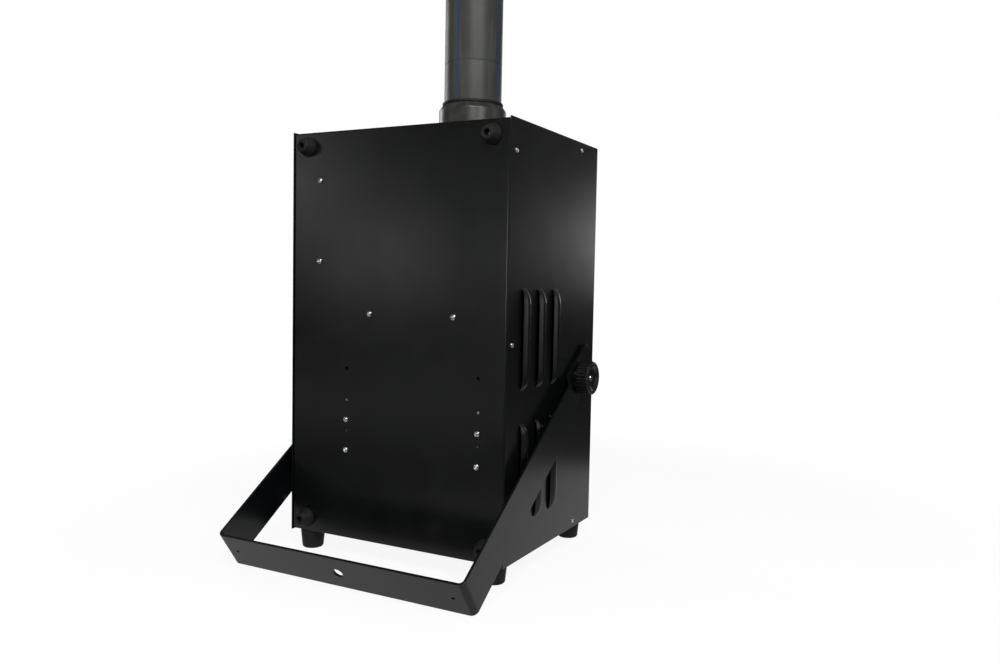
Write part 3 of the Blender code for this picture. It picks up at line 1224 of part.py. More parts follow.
def build_rocker(materials, x, face, z, wall):
    """The switch's rocker: a shallow V-shaped key that tilts about a pin across its middle."""
    half_x = SWITCH_HALF[0] - wall - 2 * GAP
    half_z = SWITCH_HALF[1] - wall - ROCKER_END_GAP
    back_z = half_z * ROCKER_TAPER
    pivot_y = face - ROCKER_PIVOT_DEPTH
    tilt = math.radians(SWITCH_TILT)
    profile = [(-half_z, ROCKER_PROUD[0]), (0.0, ROCKER_PROUD[1]), (half_z, ROCKER_PROUD[0]),
               (back_z, -ROCKER_BACK[0]), (0.0, -ROCKER_BACK[1]), (-back_z, -ROCKER_BACK[0])]
    key = bmesh.new()
    rings = []
    for side in (-1, 1):
        ring = []
        for along, out in profile:
            y = out * math.cos(tilt) - along * math.sin(tilt)
            up = out * math.sin(tilt) + along * math.cos(tilt)
            ring.append(Vector((x + side * half_x, pivot_y + y, z + up)))
        rings.append(ring)
    add_loft(key, rings)
    return link_object("switch_rocker", key, materials["switch_plastic"], (x, pivot_y, z))


def build_signal_connector(materials, name, x, face, z, pins):
    """Round panel connector: a square flange, a barrel, and pins or sockets in its face."""
    shell = bmesh.new()
    add_plate_y(shell, rounded_rectangle(*SIGNAL_FLANGE_HALF, 3 * MM), (x, z), face, face + FLANGE_SHEET)
    item = link_object(name, shell, materials["black_plastic"], (x, face, z))
    barrel = bmesh.new()
    add_rod(barrel, SIGNAL_R, -SIGNAL_DEPTH, FLANGE_SHEET / 2, at(x, face, z, ALONG_Y), 20)
    combine(item, barrel, "UNION")
    cut = bmesh.new()
    bore_r = SIGNAL_R - SIGNAL_WALL
    spots = [(PIN_CIRCLE_R * math.cos(math.radians(a)), PIN_CIRCLE_R * math.sin(math.radians(a)))
             for a in PIN_ANGLES]
    if pins:
        add_rod(cut, bore_r, -SIGNAL_WELL, 2 * FLANGE_SHEET, at(x, face, z, ALONG_Y), 20)
        combine(item, cut, "DIFFERENCE")
        contacts = bmesh.new()
        for dx, dz in spots:
            add_rod(contacts, PIN_R, -SIGNAL_WELL - PIN_R, -PIN_TOP, at(x + dx, face, z + dz, ALONG_Y), 6)
        combine(item, contacts, "UNION")
    else:
        insert_r = bore_r - SIGNAL_MOAT
        add_turned(cut, [(insert_r, -SIGNAL_SOCKET), (bore_r, -SIGNAL_SOCKET), (bore_r, 2 * FLANGE_SHEET),
                         (insert_r, 2 * FLANGE_SHEET)], at(x, face, z, ALONG_Y), 20, ring=True)
        for dx, dz in spots:
            add_rod(cut, PIN_HOLE_R, -SIGNAL_SOCKET, 2 * FLANGE_SHEET,
                    at(x + dx, face, z + dz, ALONG_Y), 6)
        combine(item, cut, "DIFFERENCE")
    return item


def build_display(materials, face):
    """Display plate with its window and a row of sprung menu buttons under it."""
    made = []
    z = chassis_height(DISPLAY_HEIGHT)
    plate = bmesh.new()
    add_plate_y(plate, rounded_rectangle(DISPLAY_HALF[0], DISPLAY_HALF[1], 3 * MM), (0.0, z), face,
                face + DISPLAY_SHEET)
    item = link_object("display_plate", plate, materials["black_plastic"], (0.0, face, z))
    window_z = z + WINDOW_RAISE
    button_z = z - BUTTON_DROP
    floor = face + DISPLAY_SHEET / 2
    cuts = bmesh.new()
    add_box(cuts, (-WINDOW_HALF[0] - GAP, floor, window_z - WINDOW_HALF[1] - GAP),
            (WINDOW_HALF[0] + GAP, face + 2 * DISPLAY_SHEET, window_z + WINDOW_HALF[1] + GAP))
    xs = [(i - (BUTTON_COUNT - 1) / 2) * BUTTON_PITCH for i in range(BUTTON_COUNT)]
    for x in xs:
        add_rod(cuts, BUTTON_R + GAP, -DISPLAY_SHEET, 2 * DISPLAY_SHEET, at(x, face, button_z, ALONG_Y), 12)
    combine(item, cuts, "DIFFERENCE")
    made.append(item)
    window = bmesh.new()
    add_box(window, (-WINDOW_HALF[0], floor + GAP, window_z - WINDOW_HALF[1]),
            (WINDOW_HALF[0], face + DISPLAY_SHEET - GAP, window_z + WINDOW_HALF[1]))
    made.append(link_object("display_window", window, materials["display_window"], (0.0, floor, window_z)))
    for index, x in enumerate(xs):
        button = bmesh.new()
        collar_r = BUTTON_R + BUTTON_COLLAR
        top = DISPLAY_SHEET + BUTTON_PROUD
        add_turned(button, [(collar_r, -GAP - BUTTON_FLANGE), (collar_r, -GAP), (BUTTON_R, -GAP),
                            (BUTTON_R, top - BUTTON_CHAMFER), (BUTTON_R - BUTTON_CHAMFER, top)],
                   at(x, face, button_z, ALONG_Y), 12)
        made.append(link_object("menu_button_" + str(index + 1), button, materials["black_plastic"],
                                (x, face, button_z)))
    return made


def main():
    clear_scene()
    materials = make_materials()
    parts = [build_chassis(materials), build_cover(materials), build_yoke(materials)]
    parts += build_feet(materials)
    parts += build_clamp(materials, "left", -1)
    parts += build_clamp(materials, "right", 1)
    parts += build_outlet(materials)
    parts += build_rear_screws(materials)
    blower, nozzle_seat = build_blower(materials)
    parts += blower
    parts.append(build_mixing_tee(materials, nozzle_seat))
    parts.append(build_hopper(materials))
    parts += build_door(materials)
    parts.append(build_pipe_clamp(materials, PIPE_R + GAP + TEE_WALL))
    parts += build_control_board(materials)
    parts += build_controls(materials)

    base = bpy.data.objects.new("blower_base", None)
    base.location = (0.0, ORIGIN_SHIFT_Y, 0.0)
    bpy.context.scene.collection.objects.link(base)
    for item in bpy.context.scene.collection.objects:
        if item is not base:
            item.parent = base
    bpy.context.view_layer.update()
    print("origin shift", round(ORIGIN_SHIFT_Y * 1000, 3), "mm; yoke drop",
          round(math.degrees(YOKE_DROP), 3), "degrees; parts", len(parts))


main()
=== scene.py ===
"""Looks of the confetti blower: a black sheet-metal box on rubber feet, carried by a flat-bar yoke.

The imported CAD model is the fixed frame. Round, pressed and moulded forms are worked out again here as
fine surfaces in the same places, and every part gets a finish from shader nodes.
"""

import logging
import math
from dataclasses import dataclass, field
from enum import Enum

import bmesh
import bpy
import numpy as np
from mathutils import Euler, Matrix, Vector


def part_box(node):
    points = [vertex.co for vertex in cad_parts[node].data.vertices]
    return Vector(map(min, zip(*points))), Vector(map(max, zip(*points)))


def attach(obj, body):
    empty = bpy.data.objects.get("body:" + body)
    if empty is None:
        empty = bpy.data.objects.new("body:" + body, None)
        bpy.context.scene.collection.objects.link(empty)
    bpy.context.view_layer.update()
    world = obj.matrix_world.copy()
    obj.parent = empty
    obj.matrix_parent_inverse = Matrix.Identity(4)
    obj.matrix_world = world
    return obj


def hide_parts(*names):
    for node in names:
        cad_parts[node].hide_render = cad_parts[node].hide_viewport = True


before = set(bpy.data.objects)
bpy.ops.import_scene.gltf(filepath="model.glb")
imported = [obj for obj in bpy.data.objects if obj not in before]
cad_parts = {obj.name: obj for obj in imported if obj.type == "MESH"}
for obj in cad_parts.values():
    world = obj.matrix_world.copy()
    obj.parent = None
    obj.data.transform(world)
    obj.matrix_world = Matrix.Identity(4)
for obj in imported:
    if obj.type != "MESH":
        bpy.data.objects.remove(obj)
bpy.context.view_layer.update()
LOG = logging.getLogger("confetti_blower")

Array = np.ndarray
Pair = tuple[float, float]
Triple = tuple[float, float, float]

MM = 0.001
MERGE = 0.001 * MM          # distance under which two points are one
FLAT = math.radians(0.5)    # faces that turn less than this are one face
CREASE = math.radians(35)   # an edge that turns more than this stays sharp
FOLD = math.radians(70)     # an edge that turns more than this ends a sheet
SOFT_EDGE = 0.2 * MM        # width of softened edges
FIT_GAP = 0.3 * MM          # clearance between two pieces that seat on each other
HEAD_GAP = 0.1 * MM         # clearance under the heads of the small screws
HALF_WIDTH = 155.5 * MM     # middle of the box to a side panel's outer face
FOOT_BORE = 2.05 * MM       # radius of the screw's hole in a rubber foot


class Slot(Enum):
    """The material slots, named like the CAD model's materials."""

    BOX_PAINT = "box_paint"
    YOKE_PAINT = "yoke_paint"
    FOOT_RUBBER = "foot_rubber"
    KNOB_PLASTIC = "knob_plastic"
    BRIGHT_STEEL = "bright_steel"
    PIPE_PLASTIC = "pipe_plastic"
    COLLAR_PLASTIC = "collar_plastic"
    NYLON = "nylon"
    ZINC_PLATE = "zinc_plate"
    MOTOR_METAL = "motor_metal"
    BLACK_PLASTIC = "black_plastic"
    SWITCH_PLASTIC = "switch_plastic"
    BOARD_GREEN = "board_green"
    DISPLAY_WINDOW = "display_window"


class Axis(Enum):
    """Directions in which a turned piece can point, as its own three axes."""

    X = ((0, 1, 0), (0, 0, 1), (1, 0, 0))
    MINUS_X = ((0, 0, 1), (0, 1, 0), (-1, 0, 0))
    MINUS_Y = ((1, 0, 0), (0, 0, 1), (0, -1, 0))
    Z = ((1, 0, 0), (0, 1, 0), (0, 0, 1))
    MINUS_Z = ((0, 1, 0), (1, 0, 0), (0, 0, -1))


@dataclass(frozen=True)
class Place:
    """Where a turned piece stands: the foot of its axis, its direction and its turn about it."""

    origin: Triple
    axis: Axis
    turn: float = 0.0

    def put(self, local: Array) -> Array:
        """Carry local points there: origin + x' u + y' v + z w, with x', y' turned about w.

        Args:
            local: Points with a last axis of three.

        Returns:
            The points in the row frame.
        """
        cosine, sine = math.cos(self.turn), math.sin(self.turn)
        x = local[..., 0] * cosine - local[..., 1] * sine
        y = local[..., 0] * sine + local[..., 1] * cosine
        turned = np.stack([x, y, local[..., 2]], axis=-1)
        return turned @ np.array(self.axis.value, float) + np.array(self.origin, float)


# Shader nodes


class Value:
    """A shader socket that takes part in sums and products like a number."""

    def __init__(self, graph: "Graph", socket: bpy.types.NodeSocket) -> None:
        """Keep the socket and the graph that it belongs to."""
        self.graph = graph
        self.socket = socket

    def __add__(self, other: "Value | float") -> "Value":
        """Sum."""
        return self.graph.math("ADD", self, other)

    def __sub__(self, other: "Value | float") -> "Value":
        """Difference."""
        return self.graph.math("SUBTRACT", self, other)

    def __rsub__(self, other: float) -> "Value":
        """Difference from a number."""
        return self.graph.math("SUBTRACT", other, self)

    def __mul__(self, other: "Value | float") -> "Value":
        """Product."""
        return self.graph.math("MULTIPLY", self, other)

    def __pow__(self, other: "Value | float") -> "Value":
        """Power."""
        return self.graph.math("POWER", self, other)

    def ramp(self, low: float, high: float) -> "Value":
        """Smooth rise from 0 at low to 1 at high.

        Args:
            low: Value that gives 0.
            high: Value that gives 1. It may be the smaller one, for a fall.

        Returns:
            3 t^2 - 2 t^3 of the clamped share t.
        """
        made = self.graph.node("ShaderNodeMapRange", {"interpolation_type": "SMOOTHSTEP"},
                               {"Value": self, "From Min": low, "From Max": high})
        return Value(self.graph, made.outputs["Result"])


class Graph:
    """The node tree of one material or world, with the shader that it starts with."""

    def __init__(self, owner: bpy.types.Material | bpy.types.World) -> None:
        """Take over a new material or world."""
        self.owner = owner
        owner.use_nodes = True
        self.tree = owner.node_tree
        self.shader = self.tree.nodes.get("Principled BSDF") or self.tree.nodes["Background"]

    def feed(self, socket: bpy.types.NodeSocket, value: "Value | float | tuple") -> None:
        """Link a value to a socket, or set the socket where the value is a plain number or colour."""
        if isinstance(value, Value):
            self.tree.links.new(value.socket, socket)
        elif isinstance(value, tuple) and len(value) == 3 and len(socket.default_value) == 4:
            socket.default_value = (*value, 1.0)
        else:
            socket.default_value = value

    def node(self, kind: str, settings: dict | None = None, inputs: dict | None = None) -> bpy.types.Node:
        """Add a node.

        Args:
            kind: The node's type name.
            settings: Attributes to set on it.
            inputs: Values for its sockets, by name or number.

        Returns:
            The node.
        """
        made = self.tree.nodes.new(kind)
        for name, value in (settings or {}).items():
            setattr(made, name, value)
        for name, value in (inputs or {}).items():
            self.feed(made.inputs[name], value)
        return made

    def math(self, operation: str, *values: "Value | float") -> Value:
        """Result of one Math node."""
        made = self.node("ShaderNodeMath", {"operation": operation}, dict(enumerate(values)))
        return Value(self, made.outputs[0])

    def place(self) -> Value:
        """The point on the piece in object coordinates, which are metres in the row frame."""
        return Value(self, self.node("ShaderNodeTexCoord").outputs["Object"])

    def parts(self, vector: Value) -> tuple[Value, Value, Value]:
        """X, Y and Z of a vector."""
        made = self.node("ShaderNodeSeparateXYZ", None, {0: vector})
        return tuple(Value(self, made.outputs[i]) for i in range(3))

    def stretched(self, scale: Triple) -> Value:
        """Object coordinates times a scale along each axis."""
        made = self.node("ShaderNodeMapping", {"vector_type": "POINT"},
                         {"Vector": self.place(), "Scale": scale})
        return Value(self, made.outputs[0])

    def noise(self, size: float, detail: float = 2.0, vector: Value | None = None) -> Value:
        """Smooth noise from 0 to 1.

        Args:
            size: Width of one patch in metres.
            detail: How many finer layers it has.
            vector: Where to read it, or None for the object coordinates.

        Returns:
            The noise.
        """
        made = self.node("ShaderNodeTexNoise", None,
                         {"Vector": vector or self.place(), "Scale": 1.0 / size, "Detail": detail})
        return Value(self, made.outputs["Fac"])

    def cells(self, size: float) -> Value:
        """Distance from the nearest of many scattered points, in units of their spacing."""
        made = self.node("ShaderNodeTexVoronoi", None, {"Vector": self.place(), "Scale": 1.0 / size})
        return Value(self, made.outputs["Distance"])

    def mix(self, share: "Value | float", first: "Value | tuple", second: "Value | tuple") -> Value:
        """Colour that goes from the first to the second as the share goes from 0 to 1."""
        made = self.node("ShaderNodeMix", {"data_type": "RGBA"})
        self.feed(made.inputs[0], share)
        self.feed(made.inputs[6], first)
        self.feed(made.inputs[7], second)
        return Value(self, made.outputs[2])

    def bump(self, height: Value, distance: float, strength: float) -> None:
        """Give the shader's normal a relief of this height."""
        made = self.node("ShaderNodeBump", None,
                         {"Height": height, "Distance": distance, "Strength": strength})
        self.feed(self.shader.inputs["Normal"], Value(self, made.outputs[0]))


@dataclass(frozen=True)
class Finish:
    """One surface finish: its colour, gloss, grain and unevenness.

    The colour drifts between two shades with a slow noise, the roughness with another, and a fine
    grain lifts the normal.
    """

    slot: Slot
    colour: Triple
    roughness: float
    metallic: float = 0.0
    specular: float = 0.5
    coat: float = 0.0
    coat_roughness: float = 0.2
    drift: float = 0.18
    drift_size: float = 0.05
    rough_drift: float = 0.05
    grain: float = 0.0011
    grain_depth: float = 0.00004
    grain_strength: float = 0.3

    def material(self) -> bpy.types.Material:
        """Build the material.

        Returns:
            A new material named after the slot.
        """
        graph = Graph(bpy.data.materials.new("finish_" + self.slot.value))
        shader = graph.shader
        for name, value in (("Metallic", self.metallic), ("Specular IOR Level", self.specular),
                            ("Coat Weight", self.coat), ("Coat Roughness", self.coat_roughness)):
            shader.inputs[name].default_value = value
        graph.feed(shader.inputs["Base Color"], self.tint(graph))
        graph.feed(shader.inputs["Roughness"], self.gloss(graph))
        self.relief(graph)
        return graph.owner

    def tint(self, graph: Graph) -> Value:
        """Colour over the surface: two shades mixed by a slow noise."""
        slow = graph.noise(self.drift_size, 3.0).ramp(0.3, 0.7)
        dark, light = (tuple(channel * factor for channel in self.colour)
                       for factor in (1 - self.drift, 1 + self.drift))
        return graph.mix(slow, dark, light)

    def gloss(self, graph: Graph) -> Value:
        """Roughness over the surface: its middle value, plus or minus the drift."""
        uneven = graph.noise(self.drift_size * 0.6, 4.0)
        return uneven * (2 * self.rough_drift) + (self.roughness - self.rough_drift)

    def relief(self, graph: Graph) -> None:
        """Fine grain in the normal."""
        graph.bump(graph.noise(self.grain), self.grain_depth, self.grain_strength)


@dataclass(frozen=True)
class PaintFinish(Finish):
    """Satin stoved paint: orange-peel grain, faint dust and a few light specks."""

    dust: Triple = (0.10, 0.10, 0.095)
    dust_share: float = 0.03
    dust_grain: float = 0.006
    dust_patch: float = 0.09
    speck_share: float = 0.6
    speck_spacing: float = 0.021
    speck_reach: Pair = (0.02, 0.008)
    speck_patch: float = 0.05
    peel: float = 0.004
    peel_share: float = 0.7

    def tint(self, graph: Graph) -> Value:
        """The two shades, with dust where a broad noise is high and specks at scattered points."""
        patch = graph.noise(self.dust_patch).ramp(0.45, 0.75)
        film = graph.noise(self.dust_grain, 4.0).ramp(0.55, 0.8) * patch
        dusty = graph.mix(film * self.dust_share, super().tint(graph), self.dust)
        spotty = graph.noise(self.speck_patch, 1.0).ramp(0.5, 0.6)
        speck = graph.cells(self.speck_spacing).ramp(*self.speck_reach) * spotty
        return graph.mix(speck * self.speck_share, dusty, self.dust)

    def relief(self, graph: Graph) -> None:
        """Orange peel plus a finer grain: two noises of different size, added."""
        peel, grain = graph.noise(self.peel, 1.0), graph.noise(self.grain)
        rough = peel * self.peel_share + grain * (1 - self.peel_share)
        graph.bump(rough, self.grain_depth, self.grain_strength)


@dataclass(frozen=True)
class PipeFinish(Finish):
    """Drawn plastic pipe with four thin coloured lines along it and fine draw marks."""

    centre: Pair = (0.0, 0.0)
    radius: float = 37.5 * MM
    line: Triple = (0.030, 0.050, 0.13)
    line_width: float = 3.6 * MM
    line_soft: float = 0.25 * MM
    line_share: float = 0.9
    line_angle: float = math.radians(-92.6)
    line_count: int = 4
    haze: Triple = (0.10, 0.11, 0.065)
    haze_share: float = 0.35
    haze_size: float = 0.012
    haze_stretch: Triple = (1, 1, 0.12)
    mark_size: float = 0.0016
    mark_stretch: Triple = (1, 1, 0.03)

    def tint(self, graph: Graph) -> Value:
        """Hazed base shades, with lines where the angle round the axis is near a full turn's k / count.

        The distance from the nearest line is R |mod(a - a0 + p/2, p) - p/2| with p the pitch.
        """
        x, y, _ = graph.parts(graph.place())
        angle = graph.math("ARCTAN2", y - self.centre[1], x - self.centre[0])
        pitch = math.tau / self.line_count
        turned = angle - self.line_angle + pitch / 2 + math.tau
        off = graph.math("ABSOLUTE", graph.math("MODULO", turned, pitch) - pitch / 2) * self.radius
        worn = graph.noise(self.haze_size, 3.0, graph.stretched(self.haze_stretch)).ramp(0.5, 0.75)
        hazed = graph.mix(worn * self.haze_share, super().tint(graph), self.haze)
        half = self.line_width / 2
        on_line = off.ramp(half + self.line_soft, half - self.line_soft)
        return graph.mix(on_line * self.line_share, hazed, self.line)

    def relief(self, graph: Graph) -> None:
        """Draw marks: noise that is long along the pipe."""
        marks = graph.noise(self.mark_size, 2.0, graph.stretched(self.mark_stretch))
        graph.bump(marks, self.grain_depth, self.grain_strength)


@dataclass(frozen=True)
class SteelFinish(Finish):
    """Plated steel with faint stains."""

    stain: Triple = (0.30, 0.27, 0.22)
    stain_size: float = 0.004
    stain_share: float = 0.5

    def tint(self, graph: Graph) -> Value:
        """Plating, with stains where a noise is high."""
        stained = graph.noise(self.stain_size, 4.0).ramp(0.5, 0.78)
        return graph.mix(stained * self.stain_share, self.colour, self.stain)


@dataclass(frozen=True)
class BoardFinish(Finish):
    """Solder mask with copper tracks showing through as straight lighter bands."""

    track: Triple = (0.05, 0.22, 0.10)
    track_waves: Pair = (1700.0, 900.0)
    track_patch: float = 0.02

    def tint(self, graph: Graph) -> Value:
        """Bands where sin of x or of z is high, in patches."""
        x, _, z = graph.parts(graph.place())
        upright = graph.math("SINE", x * self.track_waves[0]).ramp(0.6, 0.75)
        level = graph.math("SINE", z * self.track_waves[1]).ramp(0.8, 0.9)
        patches = graph.noise(self.track_patch, 1.0).ramp(0.45, 0.55)
        bands = graph.math("MINIMUM", upright + level, 1.0)
        return graph.mix(bands * patches, self.colour, self.track)


class Palette:
    """All finishes, built once each and put on pieces by slot."""

    def __init__(self) -> None:
        """Write down the finishes."""
        finishes = [
            PaintFinish(Slot.BOX_PAINT, (0.0036, 0.0042, 0.0040), 0.24, specular=0.42),
            PaintFinish(Slot.YOKE_PAINT, (0.0030, 0.0036, 0.0043), 0.24, specular=0.42),
            Finish(Slot.FOOT_RUBBER, (0.010, 0.010, 0.0105), 0.62, specular=0.3, grain_strength=0.5),
            Finish(Slot.KNOB_PLASTIC, (0.005, 0.005, 0.0054), 0.36, specular=0.35),
            SteelFinish(Slot.BRIGHT_STEEL, (0.72, 0.71, 0.68), 0.22, metallic=1.0, rough_drift=0.06),
            PipeFinish(Slot.PIPE_PLASTIC, (0.046, 0.048, 0.044), 0.42, specular=0.35, grain_strength=0.35,
                       centre=box_middle("outlet_pipe")[:2]),
            Finish(Slot.COLLAR_PLASTIC, (0.030, 0.032, 0.027), 0.34, specular=0.5, drift=0.3,
                   drift_size=0.012),
            Finish(Slot.NYLON, (0.50, 0.49, 0.45), 0.45),
            SteelFinish(Slot.ZINC_PLATE, (0.58, 0.58, 0.56), 0.36, metallic=1.0),
            SteelFinish(Slot.MOTOR_METAL, (0.42, 0.42, 0.43), 0.42, metallic=1.0),
            Finish(Slot.BLACK_PLASTIC, (0.010, 0.010, 0.0105), 0.42, specular=0.45),
            Finish(Slot.SWITCH_PLASTIC, (0.30, 0.012, 0.010), 0.30, coat=0.2),
            BoardFinish(Slot.BOARD_GREEN, (0.016, 0.10, 0.045), 0.4),
            Finish(Slot.DISPLAY_WINDOW, (0.012, 0.016, 0.028), 0.10, coat=0.4, grain_strength=0.05),
        ]
        self.materials = {finish.slot: finish.material() for finish in finishes}

    def dress_nodes(self) -> None:
        """Give every CAD node the finish of its own slot, by the name of its material."""
        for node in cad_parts.values():
            for index, old in enumerate(node.data.materials):
                node.data.materials[index] = self.materials[Slot(old.name.split(".")[0])]


# Surfaces


def grid_faces(rows: int, columns: int, wrap_rows: bool = False, wrap_columns: bool = False) -> Array:
    """Quads between neighbouring points of a grid.

    Args:
        rows: Number of points one way.
        columns: Number of points the other way.
        wrap_rows: Whether the last row joins the first.
        wrap_columns: Whether the last column joins the first.

    Returns:
        Four point numbers for each quad.
    """
    down = np.arange(rows if wrap_rows else rows - 1)
    across = np.arange(columns if wrap_columns else columns - 1)
    i, j = np.meshgrid(down, across, indexing="ij")
    here, below = i * columns, (i + 1) % rows * columns
    next_j = (j + 1) % columns
    return np.stack([here + j, here + next_j, below + next_j, below + j], -1).reshape(-1, 4)


def rounded(corners: list[Triple], steps: int = 6) -> Array:
    """Profile whose corners are rounded.

    Each corner P with cut length c becomes the curve (1-t)^2 A + 2t(1-t) P + t^2 B, where A and B lie
    c from P towards its neighbours. The first and last corner stay sharp.

    Args:
        corners: Radius, height and cut length of each corner.
        steps: Points of one rounded corner.

    Returns:
        Rows of radius and height.
    """
    table = np.array(corners, float)
    point, cut = table[:, :2], table[:, 2:3].copy()
    cut[0] = cut[-1] = 0.0
    before = np.roll(point, 1, axis=0) - point
    after = np.roll(point, -1, axis=0) - point
    unit_before = before / np.maximum(np.linalg.norm(before, axis=1, keepdims=True), 1e-12)
    unit_after = after / np.maximum(np.linalg.norm(after, axis=1, keepdims=True), 1e-12)
    start, end = point + unit_before * cut, point + unit_after * cut
    t = np.linspace(0, 1, steps)[None, :, None]
    curve = (1 - t) ** 2 * start[:, None] + 2 * t * (1 - t) * point[:, None] + t ** 2 * end[:, None]
    return curve.reshape(-1, 2)


def turned_points(profile: Array, steps: int, ripple: Array | None = None) -> Array:
    """Points (r cos a, r sin a, h) for every profile row and angle.

    Args:
        profile: Rows of radius and height.
        steps: Angles in one turn.
        ripple: What to add to the radius, as a table of rows by angles, or None.

    Returns:
        A table of points, rows by angles.
    """
    angle = np.linspace(0, math.tau, steps, endpoint=False)[None, :]
    radius = profile[:, :1] + (0.0 if ripple is None else ripple)
    height = np.broadcast_to(profile[:, 1:], (len(profile), steps))
    return np.stack([radius * np.cos(angle), radius * np.sin(angle), height], axis=-1)


@dataclass
class Surface:
    """Points and faces of a piece while it is put together."""

    points: list[Array] = field(default_factory=list)
    faces: list[Array] = field(default_factory=list)
    count: int = 0

    def add(self, points: Array, faces: Array) -> None:
        """Add a patch of points with its own face numbers."""
        flat = points.reshape(-1, 3)
        self.points.append(flat)
        self.faces.append(faces + self.count)
        self.count += len(flat)

    def piece(self, name: str, closed: bool = True) -> bpy.types.Object:
        """Make the object.

        Args:
            name: Name of the piece.
            closed: Whether its faces close a volume and so can be pointed outwards by themselves.

        Returns:
            The object, at the origin.
        """
        mesh = bpy.data.meshes.new(name)
        mesh.from_pydata(np.concatenate(self.points).tolist(), [], np.concatenate(self.faces).tolist())
        return finish_mesh(name, mesh, closed)


def finish_mesh(name: str, mesh: bpy.types.Mesh, closed: bool) -> bpy.types.Object:
    """Merge doubles, drop flat faces, point faces outwards, set smooth shading and link an object.

    Args:
        name: Name of the object.
        mesh: Its mesh.
        closed: Whether to point the faces outwards.

    Returns:
        The object.
    """
    work = bmesh.new()
    work.from_mesh(mesh)
    bmesh.ops.remove_doubles(work, verts=work.verts, dist=MERGE)
    bmesh.ops.dissolve_degenerate(work, edges=work.edges, dist=MERGE / 10)
    if closed:
        bmesh.ops.recalc_face_normals(work, faces=work.faces)
    work.to_mesh(mesh)
    work.free()
    mesh.shade_smooth()
    mesh.set_sharp_from_angle(angle=CREASE)
    item = bpy.data.objects.new(name, mesh)
    bpy.context.scene.collection.objects.link(item)
    return item


def soften(piece: bpy.types.Object, width: float, angle: float) -> None:
    """Round a piece's edges and let large faces rule the normals beside them.

    Args:
        piece: The piece.
        width: Width of the rounded edges.
        angle: Least turn of an edge that is rounded.
    """
    soft = piece.modifiers.new("soft_edges", "BEVEL")
    soft.width = width
    soft.segments = 2
    soft.limit_method = "ANGLE"
    soft.angle_limit = angle
    soft.use_clamp_overlap = False
    weigh = piece.modifiers.new("level_normals", "WEIGHTED_NORMAL")
    weigh.weight = 80
    weigh.keep_sharp = True


def thickened(piece: bpy.types.Object, thickness: float) -> bpy.types.Object:
    """Give a skin a wall on its inner side.

    Args:
        piece: The skin, whose faces point outwards.
        thickness: Wall thickness.

    Returns:
        A new object with the wall in its mesh; the old one is gone.
    """
    wall = piece.modifiers.new("sheet", "SOLIDIFY")
    wall.thickness = thickness
    wall.offset = -1.0
    bpy.context.view_layer.update()
    mesh = bpy.data.meshes.new_from_object(piece.evaluated_get(bpy.context.evaluated_depsgraph_get()))
    name = piece.name
    bpy.data.objects.remove(piece, do_unlink=True)
    made = finish_mesh(name, mesh, closed=False)
    soften(made, SOFT_EDGE, FOLD)
    return made


class Workshop:
    """Puts finished pieces on their bodies."""

    def __init__(self, palette: Palette) -> None:
        """Keep the palette."""
        self.palette = palette

    def fit(self, piece: bpy.types.Object, slot: Slot, body: str = "root", node: str = "") -> None:
        """Dress a piece, let it ride on a body and hide the node that it stands for.

        Args:
            piece: The finished object.
            slot: Its material slot.
            body: The CAD body that carries it.
            node: CAD node that it replaces, if any.
        """
        piece.data.materials.clear()
        piece.data.materials.append(self.palette.materials[slot])
        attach(piece, body)
        if node:
            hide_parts(node)
        LOG.info("%s: %d faces on %s", piece.name, len(piece.data.polygons), body)

    def turn(self, name: str, profile: Array, place: Place, slot: Slot, body: str = "root",
             node: str = "", steps: int = 96, ring: bool = True, ripple: Array | None = None) -> None:
        """Make a turned piece and fit it.

        Args:
            name: Name of the piece.
            profile: Rows of radius and height.
            place: Where it stands.
            slot: Its material slot.
            body: The CAD body that carries it.
            node: CAD node that it replaces, if any.
            steps: Angles in one turn.
            ring: Whether the profile closes on itself.
            ripple: What to add to the radius by row and angle, or None.
        """
        work = Surface()
        work.add(place.put(turned_points(profile, steps, ripple)),
                 grid_faces(len(profile), steps, wrap_rows=ring, wrap_columns=True))
        self.fit(work.piece(name), slot, body, node)

    def screw(self, name: str, screw: "PanScrew", place: Place, node: str = "") -> None:
        """Fit one bright screw.

        Args:
            name: Name of the piece.
            screw: Its measures.
            place: Seat of its head.
            node: CAD node that it replaces, if any.
        """
        work = Surface()
        screw.add(work, place)
        self.fit(work.piece(name), Slot.BRIGHT_STEEL, "root", node)

    def refine(self, node: str, slot: Slot, body: str = "root", edge: float = SOFT_EDGE) -> None:
        """Stand a merged copy of a CAD node in its place, with smooth bends and softened edges.

        Args:
            node: The CAD node.
            slot: Its material slot.
            body: The CAD body that carries it.
            edge: Width of the softened edges.
        """
        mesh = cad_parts[node].data.copy()
        piece = finish_mesh(node + "_fine", mesh, closed=False)
        work = bmesh.new()
        work.from_mesh(mesh)
        bmesh.ops.dissolve_limit(work, angle_limit=FLAT, verts=work.verts, edges=work.edges)
        work.to_mesh(mesh)
        work.free()
        soften(piece, edge, CREASE)
        self.fit(piece, slot, body, node)


def box_middle(node: str) -> Triple:
    """Middle of a CAD node's box."""
    low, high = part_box(node)
    return tuple((low + high) / 2)


def nodes_named(*starts: str) -> list[str]:
    """Names of the CAD nodes that begin with any of these words, in alphabetical order."""
    return sorted(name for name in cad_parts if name.startswith(starts))


# Sub-assemblies


